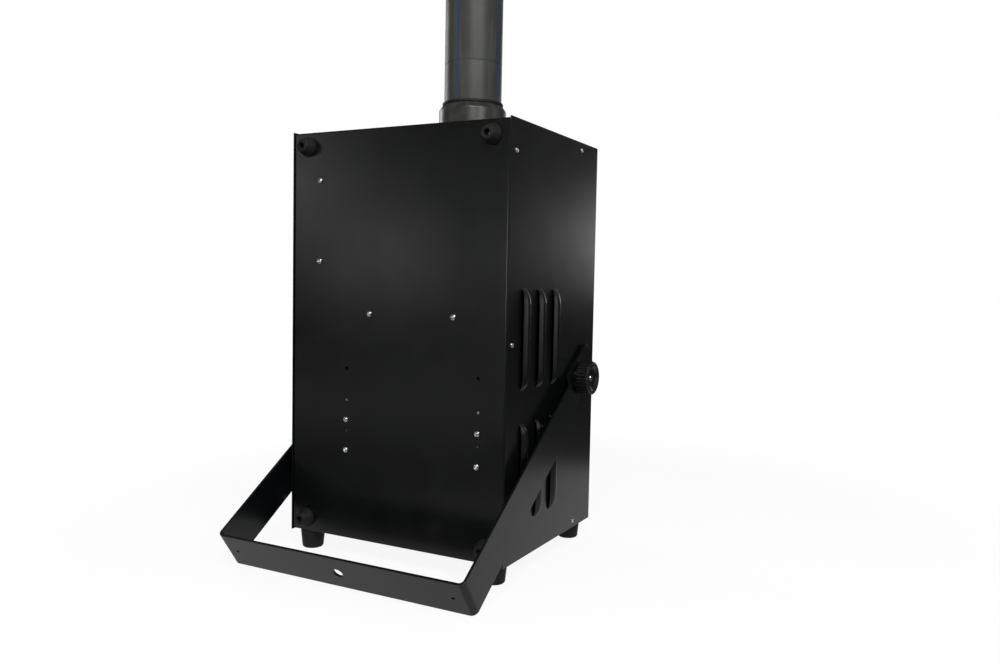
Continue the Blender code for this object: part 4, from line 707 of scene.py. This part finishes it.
@dataclass
class Cover:
    """The U of sheet metal that makes both sides and the front, with its pressed louvres."""

    sheet: float = 1.2 * MM
    bend: float = 3.0 * MM
    bend_steps: int = 9
    louvre_length: float = 118.0 * MM
    louvre_width: float = 19.0 * MM
    louvre_height: float = 7.0 * MM
    louvre_lip: float = 3.2 * MM
    louvre_crest: float = 0.46
    louvre_round: float = 0.75
    louvre_taper: float = 0.2
    louvre_first: float = 34.6 * MM
    louvre_pitch: float = 42.2 * MM
    louvre_columns: int = 3
    louvre_lows: Pair = (43.0 * MM, 200.8 * MM)
    samples: int = 30
    end_samples: int = 12
    middle_samples: int = 7
    stud_hole: float = 5.6 * MM
    door_lap: float = 10.0 * MM
    door_height: float = 115.0 * MM
    hopper_flange: float = 8.0 * MM
    # Pieces in the front, and how far each one's flange laps the sheet sideways and up and down, in mm
    fittings: tuple[tuple[str, float, float], ...] = (
        ("power_inlet", 9.0, 3.0), ("switch_frame", 3.0, 3.0), ("signal_in", 1.0, 3.5),
        ("signal_out", 1.0, 3.5), ("display_plate", 4.0, 4.0))

    def __post_init__(self) -> None:
        """Read the cover's place from the CAD."""
        low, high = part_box("cover")
        self.rear, self.front = low.y, high.y
        self.bottom, self.top = low.z, high.z
        _, self.pivot_y, self.pivot_z = box_middle("clamp_stud_right")

    def louvre_rise(self, share: Array) -> Array:
        """Height across a louvre.

        It is lip + (1 - lip) sin(pi v / 2 crest) up to the crest, then (1 - u^2)^0.75 down.

        Args:
            share: 0 at the slit, 1 at the far edge.

        Returns:
            Height above the panel.
        """
        lip = self.louvre_lip / self.louvre_height
        crest = self.louvre_crest
        up = lip + (1 - lip) * np.sin(np.pi / 2 * np.clip(share / crest, 0, 1))
        down = (1 - np.clip((share - crest) / (1 - crest), 0, 1) ** 2) ** self.louvre_round
        return self.louvre_height * np.where(share < crest, up, down)

    def louvre_end(self, along: Array) -> Array:
        """Share of the full shape along a louvre: 1, then sqrt(1 - p^2) over its rounded ends, then 0."""
        half = self.louvre_length / 2
        past = np.clip((np.abs(along) - (half - self.louvre_width)) / self.louvre_width, 0, 1)
        return np.sqrt(1 - past ** 2)

    def side_lines(self) -> tuple[Array, Array]:
        """Lines up the side panel, rear to front.

        Returns:
            Y of each line, and how far it lies past its louvre's slit, or -1 outside louvres. A slit has
            two lines in one place, so that the sheet can part there.
        """
        ys = [self.rear, self.pivot_y - self.stud_hole, self.pivot_y + self.stud_hole, self.front - self.bend]
        past = [-1.0] * len(ys)
        across = np.linspace(0, 1, self.samples) * self.louvre_width
        for column in range(self.louvre_columns):
            slit = self.rear + self.louvre_first + column * self.louvre_pitch
            ys += [slit, *(slit + across)]
            past += [-1.0, *across]
        order = np.lexsort((np.array(past), np.round(np.array(ys), 7)))
        return np.array(ys)[order], np.array(past)[order]

    def height_lines(self) -> Array:
        """Heights of the level lines: even along louvres, close together at their ends."""
        half = self.louvre_length / 2
        ends = half - self.louvre_width * (1 - np.sin(np.linspace(0, np.pi / 2, self.end_samples)))
        flat = half - self.louvre_width
        along = np.concatenate([-ends, np.linspace(-flat, flat, self.middle_samples), ends])
        lines = [self.bottom, self.top]
        for low in self.louvre_lows:
            lines += list(self.bottom + low + half + along)
        for _, _, levels in self.cutouts():
            lines += levels
        return np.unique(np.round(np.array(lines), 7))

    def cutouts(self) -> list[tuple[str, Pair, Pair]]:
        """Rectangles to leave open: panel, range along it, range in height."""
        y, z, half = self.pivot_y, self.pivot_z, self.stud_hole
        found = [("side", (y - half, y + half), (z - half, z + half))]
        low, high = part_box("loading_door")
        lap, top = self.door_lap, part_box("hopper")[1].z - self.hopper_flange
        found.append(("front", (low.x + lap, high.x - lap), (top - self.door_height, top)))
        for node, aside, above in self.fittings:
            low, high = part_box(node)
            aside, above = aside * MM - FIT_GAP, above * MM - FIT_GAP
            found.append(("front", (low.x + aside, high.x - aside), (low.z + above, high.z - above)))
        return found

    def plan(self, cut: list) -> Array:
        """The U seen from above, left side, front and right side.

        Args:
            cut: Rectangles to leave open.

        Returns:
            Rows of x, y, the outward normal's x and y, and the distance past a slit or -1.
        """
        side_y, side_past = self.side_lines()
        corner = np.radians(np.linspace(0, 90, self.bend_steps))[1:-1]
        cosine, sine = np.cos(corner), np.sin(corner)
        inner = HALF_WIDTH - self.bend
        centre = self.front - self.bend
        spans = [x for panel, xs, _ in cut if panel == "front" for x in xs]
        runs = ((-HALF_WIDTH, side_y, -1.0, 0.0, side_past),
                (-inner - self.bend * cosine, centre + self.bend * sine, -cosine, sine, -1.0),
                (np.unique(np.round([-inner, inner, *spans], 7)), self.front, 0.0, 1.0, -1.0),
                (inner + self.bend * sine, centre + self.bend * cosine, sine, cosine, -1.0),
                (HALF_WIDTH, side_y[::-1], 1.0, 0.0, side_past[::-1]))
        return np.concatenate([np.array(np.broadcast_arrays(*run), float) for run in runs], axis=1)

    def rises(self, past: Array, z: Array) -> Array:
        """How far the louvres lift the sheet.

        Args:
            past: Distance past a slit or -1, for each upright line.
            z: Height of each level line.

        Returns:
            A table of upright lines by level lines.
        """
        rise = np.zeros((len(past), len(z)))
        for low in self.louvre_lows:
            end = self.louvre_end(z - (self.bottom + low + self.louvre_length / 2))
            width = self.louvre_width * (self.louvre_taper + (1 - self.louvre_taper) * end)
            share = past[:, None] / width[None, :]
            rise += np.where((past[:, None] >= 0) & (share < 1), end[None, :] * self.louvre_rise(share), 0.0)
        return rise

    def build(self, shop: Workshop) -> None:
        """Lay the sheet's outer skin on a grid and give it its thickness.

        A point is path(s) + n(s) h(s, z): the plan of the U, moved out along its normal by the louvres'
        height.
        """
        cut = self.cutouts()
        x, y, normal_x, normal_y, past = self.plan(cut)
        z = self.height_lines()
        rise = self.rises(past, z)
        points = np.stack([x[:, None] + normal_x[:, None] * rise, y[:, None] + normal_y[:, None] * rise,
                           np.broadcast_to(z, rise.shape)], axis=-1)
        middle_x, middle_y, middle_z = ((line[1:] + line[:-1]) / 2 for line in (x, y, z))
        on_side = np.abs(np.abs(middle_x) - HALF_WIDTH) < MERGE
        on_front = np.abs(middle_y - self.front) < MERGE
        slit = np.hypot(np.diff(x), np.diff(y)) < MERGE
        keep = np.repeat(~slit[:, None], len(middle_z), axis=1)
        for panel, span, levels in cut:
            there, along = (on_side, middle_y) if panel == "side" else (on_front, middle_x)
            inside = there & (along > span[0]) & (along < span[1])
            keep &= ~(inside[:, None] & ((middle_z > levels[0]) & (middle_z < levels[1]))[None, :])
        sheet = Surface()
        sheet.add(points, grid_faces(len(x), len(z))[keep.reshape(-1)])
        piece = thickened(sheet.piece("cover_sheet", closed=False), self.sheet)
        shop.fit(piece, Slot.BOX_PAINT, "root", "cover")


@dataclass
class PanScrew:
    """A pan-head screw with a cross recess."""

    head_r: float = 3.6 * MM
    head: float = 2.6 * MM
    shank_r: float = 1.75 * MM
    shank: float = 8.0 * MM
    rim_share: float = 0.86
    rim_height: float = 0.72
    dome: float = 0.42
    recess_r: float = 2.0 * MM
    recess_half: float = 0.42 * MM
    recess_depth: float = 1.4 * MM
    recess_wall: float = 0.35 * MM
    recess_slope: float = 0.8 * MM
    steps: int = 48

    def recess(self, x: Array, y: Array) -> Array:
        """Depth of the cross: two crossed slots with sloping walls, deepest in the middle."""
        def slot(along: Array, across: Array) -> Array:
            """One slot: a smooth step in from its sides, and a straight slope in from its ends."""
            side = np.clip((self.recess_half - np.abs(across)) / self.recess_wall + 0.5, 0, 1)
            end = np.clip((self.recess_r - np.abs(along)) / self.recess_slope, 0, 1)
            return side * side * (3 - 2 * side) * end
        return self.recess_depth * np.maximum(slot(x, y), slot(y, x))

    def add(self, surface: Surface, place: Place) -> None:
        """Add one screw whose head's seat is at the place.

        The head is z = h - 0.42 h (r / R)^2 less the recess, with a rounded rim.

        Args:
            surface: What to add it to.
            place: Seat of the head and direction out of the work.
        """
        rim = self.rim_share * self.head_r
        r = np.concatenate([np.linspace(0, 1.1 * self.recess_r, 12),
                            np.linspace(1.15 * self.recess_r, rim, 5)])
        top = self.head * (1 - self.dome * (r / self.head_r) ** 2)
        edge = rounded([
            (rim, top[-1], 0), (self.head_r, top[-1] * self.rim_height, 0.4 * MM),
            (self.head_r, 0.0, 0.1 * MM), (self.shank_r, 0.0, 0)], 5)
        tail = [(self.shank_r, -self.shank), (0.0, -self.shank)]
        profile = np.concatenate([np.stack([r, top], -1), edge, tail])
        points = turned_points(profile, self.steps)
        count = len(r)
        points[:count, :, 2] -= self.recess(points[:count, :, 0], points[:count, :, 1])
        surface.add(place.put(points), grid_faces(len(profile), self.steps, wrap_columns=True))


@dataclass
class RearPanel:
    """The chassis sheet with its bright screws and rubber feet."""

    screw_turns: tuple[float, ...] = (0.35, 1.1, 0.7, 0.15, 0.9, 0.5, 1.3, 0.25)
    foot_height: float = 14.5 * MM
    foot_root: float = 12.5 * MM
    foot_shoulder: Pair = (0.7 * MM, 3.2 * MM)
    foot_tip: float = 7.6 * MM
    foot_hole: float = 3.9 * MM
    foot_floor: float = 0.4
    foot_screw_turn: float = 0.4
    screw_in_panel: float = 4.0 * MM

    def build(self, shop: Workshop) -> None:
        """Chassis, screws and rear feet."""
        shop.refine("chassis", Slot.BOX_PAINT)
        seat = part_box("chassis")[0].y - FIT_GAP
        names = nodes_named("bracket_screw", "pipe_clamp_screw", "board_screw")
        for name, turn in zip(names, self.screw_turns):
            x, _, z = box_middle(name)
            shop.screw(name + "_pan", PanScrew(), Place((x, seat, z), Axis.MINUS_Y, turn), name)
        for name in nodes_named("rear_foot"):
            self.foot(shop, name)

    def foot(self, shop: Workshop, name: str) -> None:
        """One rubber foot: a cone with a rounded tip, a deep hole, and the screw at its bottom."""
        x, _, z = box_middle(name)
        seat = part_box(name)[1].y
        height, floor = self.foot_height, self.foot_floor * self.foot_height
        inset, shoulder = self.foot_shoulder
        profile = rounded([
            (FOOT_BORE, 0.0, 0), (self.foot_root, 0.0, 0.8 * MM),
            (self.foot_root - inset, shoulder, 1.5 * MM), (self.foot_tip, height, 1.6 * MM),
            (self.foot_hole, height, 0.7 * MM),
            (self.foot_hole, floor, 0.3 * MM), (FOOT_BORE, floor, 0)])
        shop.turn(name + "_moulded", profile, Place((x, seat, z), Axis.MINUS_Y), Slot.FOOT_RUBBER, node=name,
                  steps=72)
        screw = PanScrew(head_r=3.2 * MM, head=2.0 * MM, recess_r=1.8 * MM, shank=floor + self.screw_in_panel)
        place = Place((x, seat - floor - HEAD_GAP, z), Axis.MINUS_Y, self.foot_screw_turn)
        shop.screw(name + "_screw", screw, place)


@dataclass
class BaseFeet:
    """The four large rubber feet under the box."""

    top_r: float = 15.8 * MM
    tip_r: float = 13.3 * MM
    shoulder: Pair = (0.2 * MM, 2.0 * MM)
    tip_inset: float = 1.2 * MM
    recess_r: float = 6.5 * MM
    recess_taper: float = 0.4 * MM
    recess_share: float = 0.55
    screw_turn: float = 0.6
    screw_in_box: float = 5.0 * MM

    def build(self, shop: Workshop) -> None:
        """Four tapered barrels, each with a rounded tip, a recess and its screw."""
        for name in nodes_named("base_foot"):
            x, y, _ = box_middle(name)
            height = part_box(name)[1].z
            floor = self.recess_share * height
            profile = rounded([
                (FOOT_BORE, height, 0), (self.top_r, height, 0.5 * MM),
                (self.tip_r + self.shoulder[0], self.shoulder[1], 0.5 * MM),
                (self.tip_r - self.tip_inset, 0.0, 1.1 * MM), (self.recess_r, 0.0, 0.6 * MM),
                (self.recess_r - self.recess_taper, floor, 0.5 * MM), (FOOT_BORE, floor, 0)])
            shop.turn(name + "_moulded", profile, Place((x, y, 0.0), Axis.Z), Slot.FOOT_RUBBER, node=name)
            screw = PanScrew(head_r=4.2 * MM, head=2.6 * MM, recess_r=2.2 * MM,
                             shank=height - floor + self.screw_in_box)
            place = Place((x, y, floor - HEAD_GAP), Axis.MINUS_Z, self.screw_turn)
            shop.screw(name + "_screw", screw, place)


@dataclass
class Outlet:
    """The collar on top and the long pipe that stands in it."""

    steps: int = 128
    pipe_r: float = 37.5 * MM
    pipe_wall: float = 4.5 * MM
    mark_above_collar: float = 52.0 * MM
    mark_depth: float = 0.35 * MM
    mark_half: Pair = (0.6 * MM, 1.2 * MM)
    collar_r: float = 44.0 * MM
    flange_r: float = 60.0 * MM
    flange: float = 5.0 * MM
    fillet: float = 3.0 * MM
    chamfer: float = 7.0 * MM
    chamfer_in: float = 5.5 * MM
    bolt_circle: float = 52.0 * MM
    bolts: int = 4
    bolt_turn: float = 0.3
    seal_gaps: Pair = (0.2 * MM, 0.1 * MM)
    seal: float = 3.4 * MM
    seal_width: float = 2.0 * MM

    def build(self, shop: Workshop) -> None:
        """Collar, seal ring, pipe and collar screws."""
        x, y, _ = box_middle("outlet_pipe")
        axis = Place((x, y, 0.0), Axis.Z)
        low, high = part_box("outlet_collar")
        self.collar(shop, axis, low.z, high.z)
        self.pipe(shop, axis, high.z)
        work = Surface()
        for index in range(self.bolts):
            angle = math.tau * (index + 0.5) / self.bolts
            place = Place((x + self.bolt_circle * math.cos(angle), y + self.bolt_circle * math.sin(angle),
                           low.z + self.flange + HEAD_GAP), Axis.Z, self.bolt_turn * index)
            PanScrew(head_r=3.4 * MM, head=2.2 * MM).add(work, place)
        shop.fit(work.piece("collar_screws"), Slot.ZINC_PLATE)

    def collar(self, shop: Workshop, axis: Place, seat: float, top: float) -> None:
        """The flanged collar, and the seal ring that shows between it and the pipe.

        Args:
            shop: Where finished pieces go.
            axis: The pipe's axis.
            seat: Height of the collar's lower face.
            top: Height of its upper edge.
        """
        bore, shoulder = self.pipe_r + FIT_GAP, seat + self.flange
        shop.turn("outlet_collar_moulded", rounded([
            (bore, seat, 0), (self.flange_r, seat, 0.3 * MM), (self.flange_r, shoulder, 1.2 * MM),
            (self.collar_r + self.fillet, shoulder, 1.0 * MM),
            (self.collar_r, shoulder + self.fillet, 1.0 * MM), (self.collar_r, top - self.chamfer, 1.5 * MM),
            (self.collar_r - self.chamfer_in, top, 0.6 * MM), (bore, top, 0)]),
            axis, Slot.COLLAR_PLASTIC, node="outlet_collar", steps=self.steps)
        inner, foot = self.pipe_r + self.seal_gaps[0], top + self.seal_gaps[1]
        outer = inner + self.seal_width
        shop.turn("pipe_seal", rounded([
            (inner, foot, 0), (outer, foot, 0.4 * MM), (outer, top + self.seal, 1.2 * MM),
            (inner, top + self.seal, 0)]), axis, Slot.FOOT_RUBBER, steps=self.steps)

    def pipe(self, shop: Workshop, axis: Place, collar_top: float) -> None:
        """The pipe, with a shallow groove round it.

        Args:
            shop: Where finished pieces go.
            axis: The pipe's axis.
            collar_top: Height of the collar's upper edge.
        """
        low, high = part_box("outlet_pipe")
        bore, groove = self.pipe_r - self.pipe_wall, self.pipe_r - self.mark_depth
        mark = collar_top + self.mark_above_collar
        narrow, wide = self.mark_half
        shop.turn("outlet_pipe_drawn", rounded([
            (bore, high.z, 0), (bore, low.z, 0.4 * MM), (self.pipe_r, low.z, 0.6 * MM),
            (self.pipe_r, mark - wide, 0.3 * MM), (groove, mark - narrow, 0.2 * MM),
            (groove, mark + narrow, 0.2 * MM), (self.pipe_r, mark + wide, 0.3 * MM),
            (self.pipe_r, high.z, 0.8 * MM), (bore + 0.01 * MM, high.z, 0)]),
            axis, Slot.PIPE_PLASTIC, node="outlet_pipe", steps=self.steps)


@dataclass
class Yoke:
    """The flat-bar yoke and the clamps that hold it."""

    bar_edge: float = 0.3 * MM
    knob_r: float = 21.8 * MM
    ribs: int = 30
    rib: float = 0.7 * MM
    rib_steps: int = 12
    chamfer: float = 1.3 * MM
    rim: float = 3.0 * MM
    dish: float = 3.5 * MM
    hub_r: float = 12.0 * MM
    stud_r: float = 5.0 * MM
    stud_steps: int = 48
    thread_pitch: float = 1.5 * MM
    thread_depth: float = 0.5 * MM
    thread_end: float = 0.8 * MM
    friction_washer_r: float = 20.0 * MM
    clamp_washer_r: float = 13.0 * MM

    def build(self, shop: Workshop) -> None:
        """The bar, and the clamp on each side."""
        shop.refine("yoke", Slot.YOKE_PAINT, "yoke", self.bar_edge)
        for side, axis in (("right", Axis.X), ("left", Axis.MINUS_X)):
            self.clamp(shop, side, axis)

    def clamp(self, shop: Workshop, side: str, axis: Axis) -> None:
        """Knob, stud and washers on one side.

        Args:
            shop: Where finished pieces go.
            side: "left" or "right".
            axis: Direction out of the box on that side.
        """
        knob, stud = "clamp_knob_" + side, "clamp_stud_" + side
        body = side + "_clamp"
        _, y, z = box_middle(stud)
        place = Place((0.0, y, z), axis)

        def reach(node: str) -> Pair:
            """How far from the box's middle a node starts and ends."""
            low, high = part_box(node)
            return (low.x, high.x) if axis is Axis.X else (-high.x, -low.x)

        bore = self.stud_r + FIT_GAP
        profile, ripple = self.knob(bore, *reach(knob))
        shop.turn(knob + "_ribbed", profile, place, Slot.KNOB_PLASTIC, body, knob, ripple.shape[1],
                  ripple=ripple)
        shop.turn(stud + "_threaded", self.thread(*reach(stud)), place, Slot.BRIGHT_STEEL, body, stud,
                  self.stud_steps, ring=False)
        for node, outer, slot, body, soft in (
                ("friction_washer_" + side, self.friction_washer_r, Slot.NYLON, "root", 0.3 * MM),
                ("clamp_washer_" + side, self.clamp_washer_r, Slot.ZINC_PLATE, side + "_washer", 0.35 * MM)):
            start, end = reach(node)
            profile = rounded([(bore, (start + end) / 2, 0), (bore, start, 0), (outer, start, soft),
                               (outer, end, soft), (bore, end, 0)])
            shop.turn(node + "_turned", profile, place, slot, body, node)

    def knob(self, bore: float, start: float, end: float) -> tuple[Array, Array]:
        """A knob's outline and its ribs, which are clipped waves round its rim.

        Args:
            bore: Radius of its hole.
            start: Where it starts along its axis.
            end: Where it ends.

        Returns:
            Rows of radius and height, and what the ribs add to the radius by row and angle.
        """
        ridge = self.knob_r - self.rib
        face = ridge - self.chamfer
        profile = rounded([
            (bore, start, 0), (face, start, 0.3 * MM), (ridge, start + self.chamfer, 0.8 * MM),
            (ridge, end - self.chamfer, 0.9 * MM), (face, end, 0.8 * MM), (face - self.rim, end, 0.8 * MM),
            (self.hub_r, end - self.dish, 1.5 * MM), (bore, end - self.dish, 0)], 7)
        angle = np.linspace(0, math.tau, self.ribs * self.rib_steps, endpoint=False)
        wave = np.clip(0.5 + 0.75 * np.cos(self.ribs * angle), 0, 1)
        on_rim = np.clip((profile[:, 0] - face) / self.chamfer, 0, 1)
        return profile, self.rib * on_rim[:, None] * wave[None, :]

    def thread(self, start: float, end: float) -> Array:
        """A stud's outline: crests at the full radius, roots a thread's depth in, by a triangle wave.

        Args:
            start: Where it starts along its axis.
            end: Where it ends.

        Returns:
            Rows of radius and height.
        """
        x = np.arange(start + self.thread_end, end - self.thread_end, self.thread_pitch / 4)
        wave = np.abs(((x - start) / self.thread_pitch) % 1.0 - 0.5) * 2
        body = np.stack([self.stud_r - self.thread_depth * (1 - wave), x], -1)
        tip = self.stud_r - self.thread_end
        return np.concatenate([[[0.0, start], [tip, start]], body, [[tip, end], [0.0, end]]])


@dataclass
class FrontPanel:
    """Door, display, inlet, switch and signal connectors."""

    pieces: tuple[tuple[str, Slot, str], ...] = (
        ("loading_door", Slot.BOX_PAINT, "door"), ("hinge_leaf", Slot.BOX_PAINT, "root"),
        ("door_pull", Slot.BLACK_PLASTIC, "door"), ("display_plate", Slot.BLACK_PLASTIC, "root"),
        ("power_inlet", Slot.BLACK_PLASTIC, "root"), ("switch_frame", Slot.BLACK_PLASTIC, "root"),
        ("switch_rocker", Slot.SWITCH_PLASTIC, "rocker"), ("signal_in", Slot.BLACK_PLASTIC, "root"),
        ("signal_out", Slot.BLACK_PLASTIC, "root"))

    def build(self, shop: Workshop) -> None:
        """Smooth copies of the moulded parts."""
        for node, slot, body in self.pieces:
            shop.refine(node, slot, body)


@dataclass
class CoverScrews:
    """Small plated screws that hold the cover to the chassis flanges."""

    # Distance from the rear edge and height above the lower edge, in mm
    spots: tuple[Pair, ...] = (
        (13.8, 473.8), (11.7, 255.0), (13.8, 35.7), (201.5, 499.8), (198.9, 9.2))
    turn: float = 0.4

    def build(self, shop: Workshop) -> None:
        """The same screws on each side."""
        low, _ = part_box("cover")
        work = Surface()
        screw = PanScrew(head_r=2.9 * MM, head=1.7 * MM, recess_r=1.6 * MM, recess_half=0.35 * MM,
                         recess_depth=1.0 * MM, shank=3.0 * MM)
        for axis, x in ((Axis.X, HALF_WIDTH + HEAD_GAP), (Axis.MINUS_X, -HALF_WIDTH - HEAD_GAP)):
            for index, (y, z) in enumerate(self.spots):
                screw.add(work, Place((x, low.y + y * MM, low.z + z * MM), axis, self.turn * index))
        shop.fit(work.piece("cover_screws"), Slot.BRIGHT_STEEL)


# Studio


def around(azimuth: float, elevation: float, middle: float = 0.35, distance: float = 2.0) -> tuple:
    """A place round the object.

    Args:
        azimuth: Degrees from +Y towards +X.
        elevation: Degrees above the level of the middle.
        middle: Height that the elevation is measured from.
        distance: Distance from that middle.

    Returns:
        The place's coordinates.
    """
    turn, lift = math.radians(azimuth), math.radians(elevation)
    reach = distance * math.cos(lift)
    return (reach * math.sin(turn), reach * math.cos(turn), middle + distance * math.sin(lift))


@dataclass
class SoftLight:
    """A rectangular soft light."""

    name: str
    place: Triple
    width: float
    height: float
    power: float
    aim: Triple = (0.0, 0.0, 0.35)

    def build(self) -> None:
        """Add the light, turned towards its aim and unseen itself."""
        lamp = bpy.data.lights.new(self.name, "AREA")
        lamp.shape = "RECTANGLE"
        lamp.size, lamp.size_y = self.width, self.height
        lamp.energy = self.power
        item = bpy.data.objects.new(self.name, lamp)
        item.location = self.place
        item.rotation_euler = (Vector(self.aim) - Vector(self.place)).to_track_quat("-Z", "Y").to_euler()
        item.visible_camera = False
        bpy.context.scene.collection.objects.link(item)


@dataclass
class Studio:
    """Floor, world, lights and camera."""

    camera_place: Triple = (0.59834, -0.94051, 0.34973)
    camera_turn: Triple = (86.680, -1.0935, 27.8939)
    lens: float = 31.11
    sensor: float = 36.0
    floor_half: float = 30.0
    floor_colour: Triple = (0.10, 0.10, 0.10)
    floor_roughness: float = 0.9
    shadow_room: float = 0.09
    shadow_reach: Pair = (0.5, 1.4)
    paper_middle: Pair = (0.08, 0.12)
    paper_edge: Pair = (0.44, 0.60)
    mirrored_paper: float = 0.5
    fill: float = 0.25
    mirrored_white: float = 0.08
    mirrored_backdrop: float = 1.1
    backdrop_azimuth: float = -8.0
    backdrop_edge: Pair = (0.93, 0.965)
    lights: tuple[SoftLight, ...] = (
        SoftLight("key_softbox", around(148, 38, 0.5), 0.7, 0.7, 19.0),
        SoftLight("camera_strip", around(148, 24, 0.5), 0.4, 0.7, 4.5),
        SoftLight("right_softbox", around(120, 25, 0.5), 0.5, 0.8, 10.5),
        SoftLight("right_strip", around(70, 16, 0.5), 0.3, 0.8, 1.0),
        SoftLight("left_softbox", around(290, 16), 0.4, 0.8, 7.6),
        SoftLight("front_spot", around(188, 2), 0.4, 0.25, 4.2),
        SoftLight("rear_card_low", around(214, 2), 0.4, 0.25, 0.44),
        SoftLight("rear_card_high", around(226, 10), 0.4, 0.35, 0.64),
        SoftLight("rear_card_wide", around(220, 6), 0.7, 0.5, 0.19),
        SoftLight("rear_floor_card", (-0.95, -1.3, 0.003), 1.2, 1.0, 1.3, (-0.95, -1.3, 1.0)),
        SoftLight("right_card", around(85, 1), 0.7, 0.4, 1.4),
        SoftLight("backdrop_low", around(16, 3), 0.4, 0.25, 0.51),
        SoftLight("backdrop_high", around(18, 6), 0.4, 0.25, 0.24),
    )

    def build(self) -> None:
        """Everything that isn't the object."""
        self.floor()
        self.world()
        for light in self.lights:
            light.build()
        self.camera()
        bpy.context.scene.view_settings.view_transform = "Standard"

    def floor(self) -> None:
        """A wide floor that looks white and keeps the object's shadow near it.

        A reflection shows white paper near the object and a black floor beyond its edge.
        """
        ends = np.array([-self.floor_half, self.floor_half])
        x, y = np.meshgrid(ends, ends, indexing="ij")
        sheet = Surface()
        sheet.add(np.stack([x, y, np.zeros_like(x)], -1), grid_faces(2, 2)[:, ::-1])
        plane = sheet.piece("studio_floor", closed=False)
        graph = Graph(bpy.data.materials.new("studio_floor"))
        for name, value in (("Base Color", self.floor_colour), ("Roughness", self.floor_roughness),
                            ("Specular IOR Level", 0.0)):
            graph.feed(graph.shader.inputs[name], value)
        x, y, _ = graph.parts(graph.place())
        x, y = x - self.paper_middle[0], y - self.paper_middle[1]
        away = (x * x + y * y) ** 0.5
        direct = 1 - away.ramp(*self.shadow_reach[::-1]) * self.shadow_room
        mirrored = away.ramp(*self.paper_edge[::-1]) * self.mirrored_paper
        glow = graph.node("ShaderNodeEmission", None, {
            "Color": (1.0, 1.0, 1.0), "Strength": self.seen(graph, direct, mirrored, 0.0)})
        both = graph.node("ShaderNodeAddShader")
        graph.tree.links.new(graph.shader.outputs[0], both.inputs[0])
        graph.tree.links.new(glow.outputs[0], both.inputs[1])
        graph.tree.links.new(both.outputs[0], graph.tree.nodes["Material Output"].inputs["Surface"])
        plane.data.materials.append(graph.owner)

    def seen(self, graph: Graph, direct: Value | float, mirrored: Value | float, lit: float) -> Value:
        """Strength by the kind of ray: the camera and glass, a reflection, or all other rays.

        Args:
            graph: The material or world that asks.
            direct: Strength where the camera or glass looks.
            mirrored: Strength in a reflection.
            lit: Strength as a light on matt surfaces.

        Returns:
            The strength.
        """
        path = graph.node("ShaderNodeLightPath")
        camera, glossy, glass = (Value(graph, path.outputs[name])
                                 for name in ("Is Camera Ray", "Is Glossy Ray", "Is Transmission Ray"))
        straight = graph.math("MAXIMUM", camera, glass)
        other = 1 - graph.math("MAXIMUM", straight, glossy)
        return straight * direct + glossy * (1 - straight) * mirrored + other * lit

    def world(self) -> None:
        """White where the camera or glass looks, and a dimmer fill light for matt surfaces.

        Reflections show white behind the object and a dim white elsewhere.
        """
        world = bpy.data.worlds.new("studio_world")
        bpy.context.scene.world = world
        graph = Graph(world)
        graph.feed(graph.shader.inputs["Color"], (1.0, 1.0, 1.0))
        x, y, _ = graph.parts(Value(graph, graph.node("ShaderNodeTexCoord").outputs["Generated"]))
        turn = math.radians(self.backdrop_azimuth)
        behind = (x * math.sin(turn) + y * math.cos(turn)).ramp(*self.backdrop_edge)
        mirrored = behind * self.mirrored_backdrop + self.mirrored_white
        graph.feed(graph.shader.inputs["Strength"], self.seen(graph, 1.0, mirrored, self.fill))

    def camera(self) -> None:
        """The camera at the photograph's place."""
        data = bpy.data.cameras.new("camera")
        data.lens = self.lens
        data.sensor_width = self.sensor
        data.sensor_fit = "HORIZONTAL"
        item = bpy.data.objects.new("camera", data)
        item.location = self.camera_place
        item.rotation_euler = Euler([math.radians(a) for a in self.camera_turn], "XYZ")
        bpy.context.scene.collection.objects.link(item)
        bpy.context.scene.camera = item


def main() -> None:
    """Build the looks in order."""
    logging.basicConfig(level=logging.INFO, format="%(message)s")
    palette = Palette()
    palette.dress_nodes()
    shop = Workshop(palette)
    for part in (Cover(), RearPanel(), BaseFeet(), Outlet(), Yoke(), FrontPanel(), CoverScrews()):
        LOG.info("building %s", type(part).__name__)
        part.build(shop)
    Studio().build()


if __name__ == "__main__":
    main()
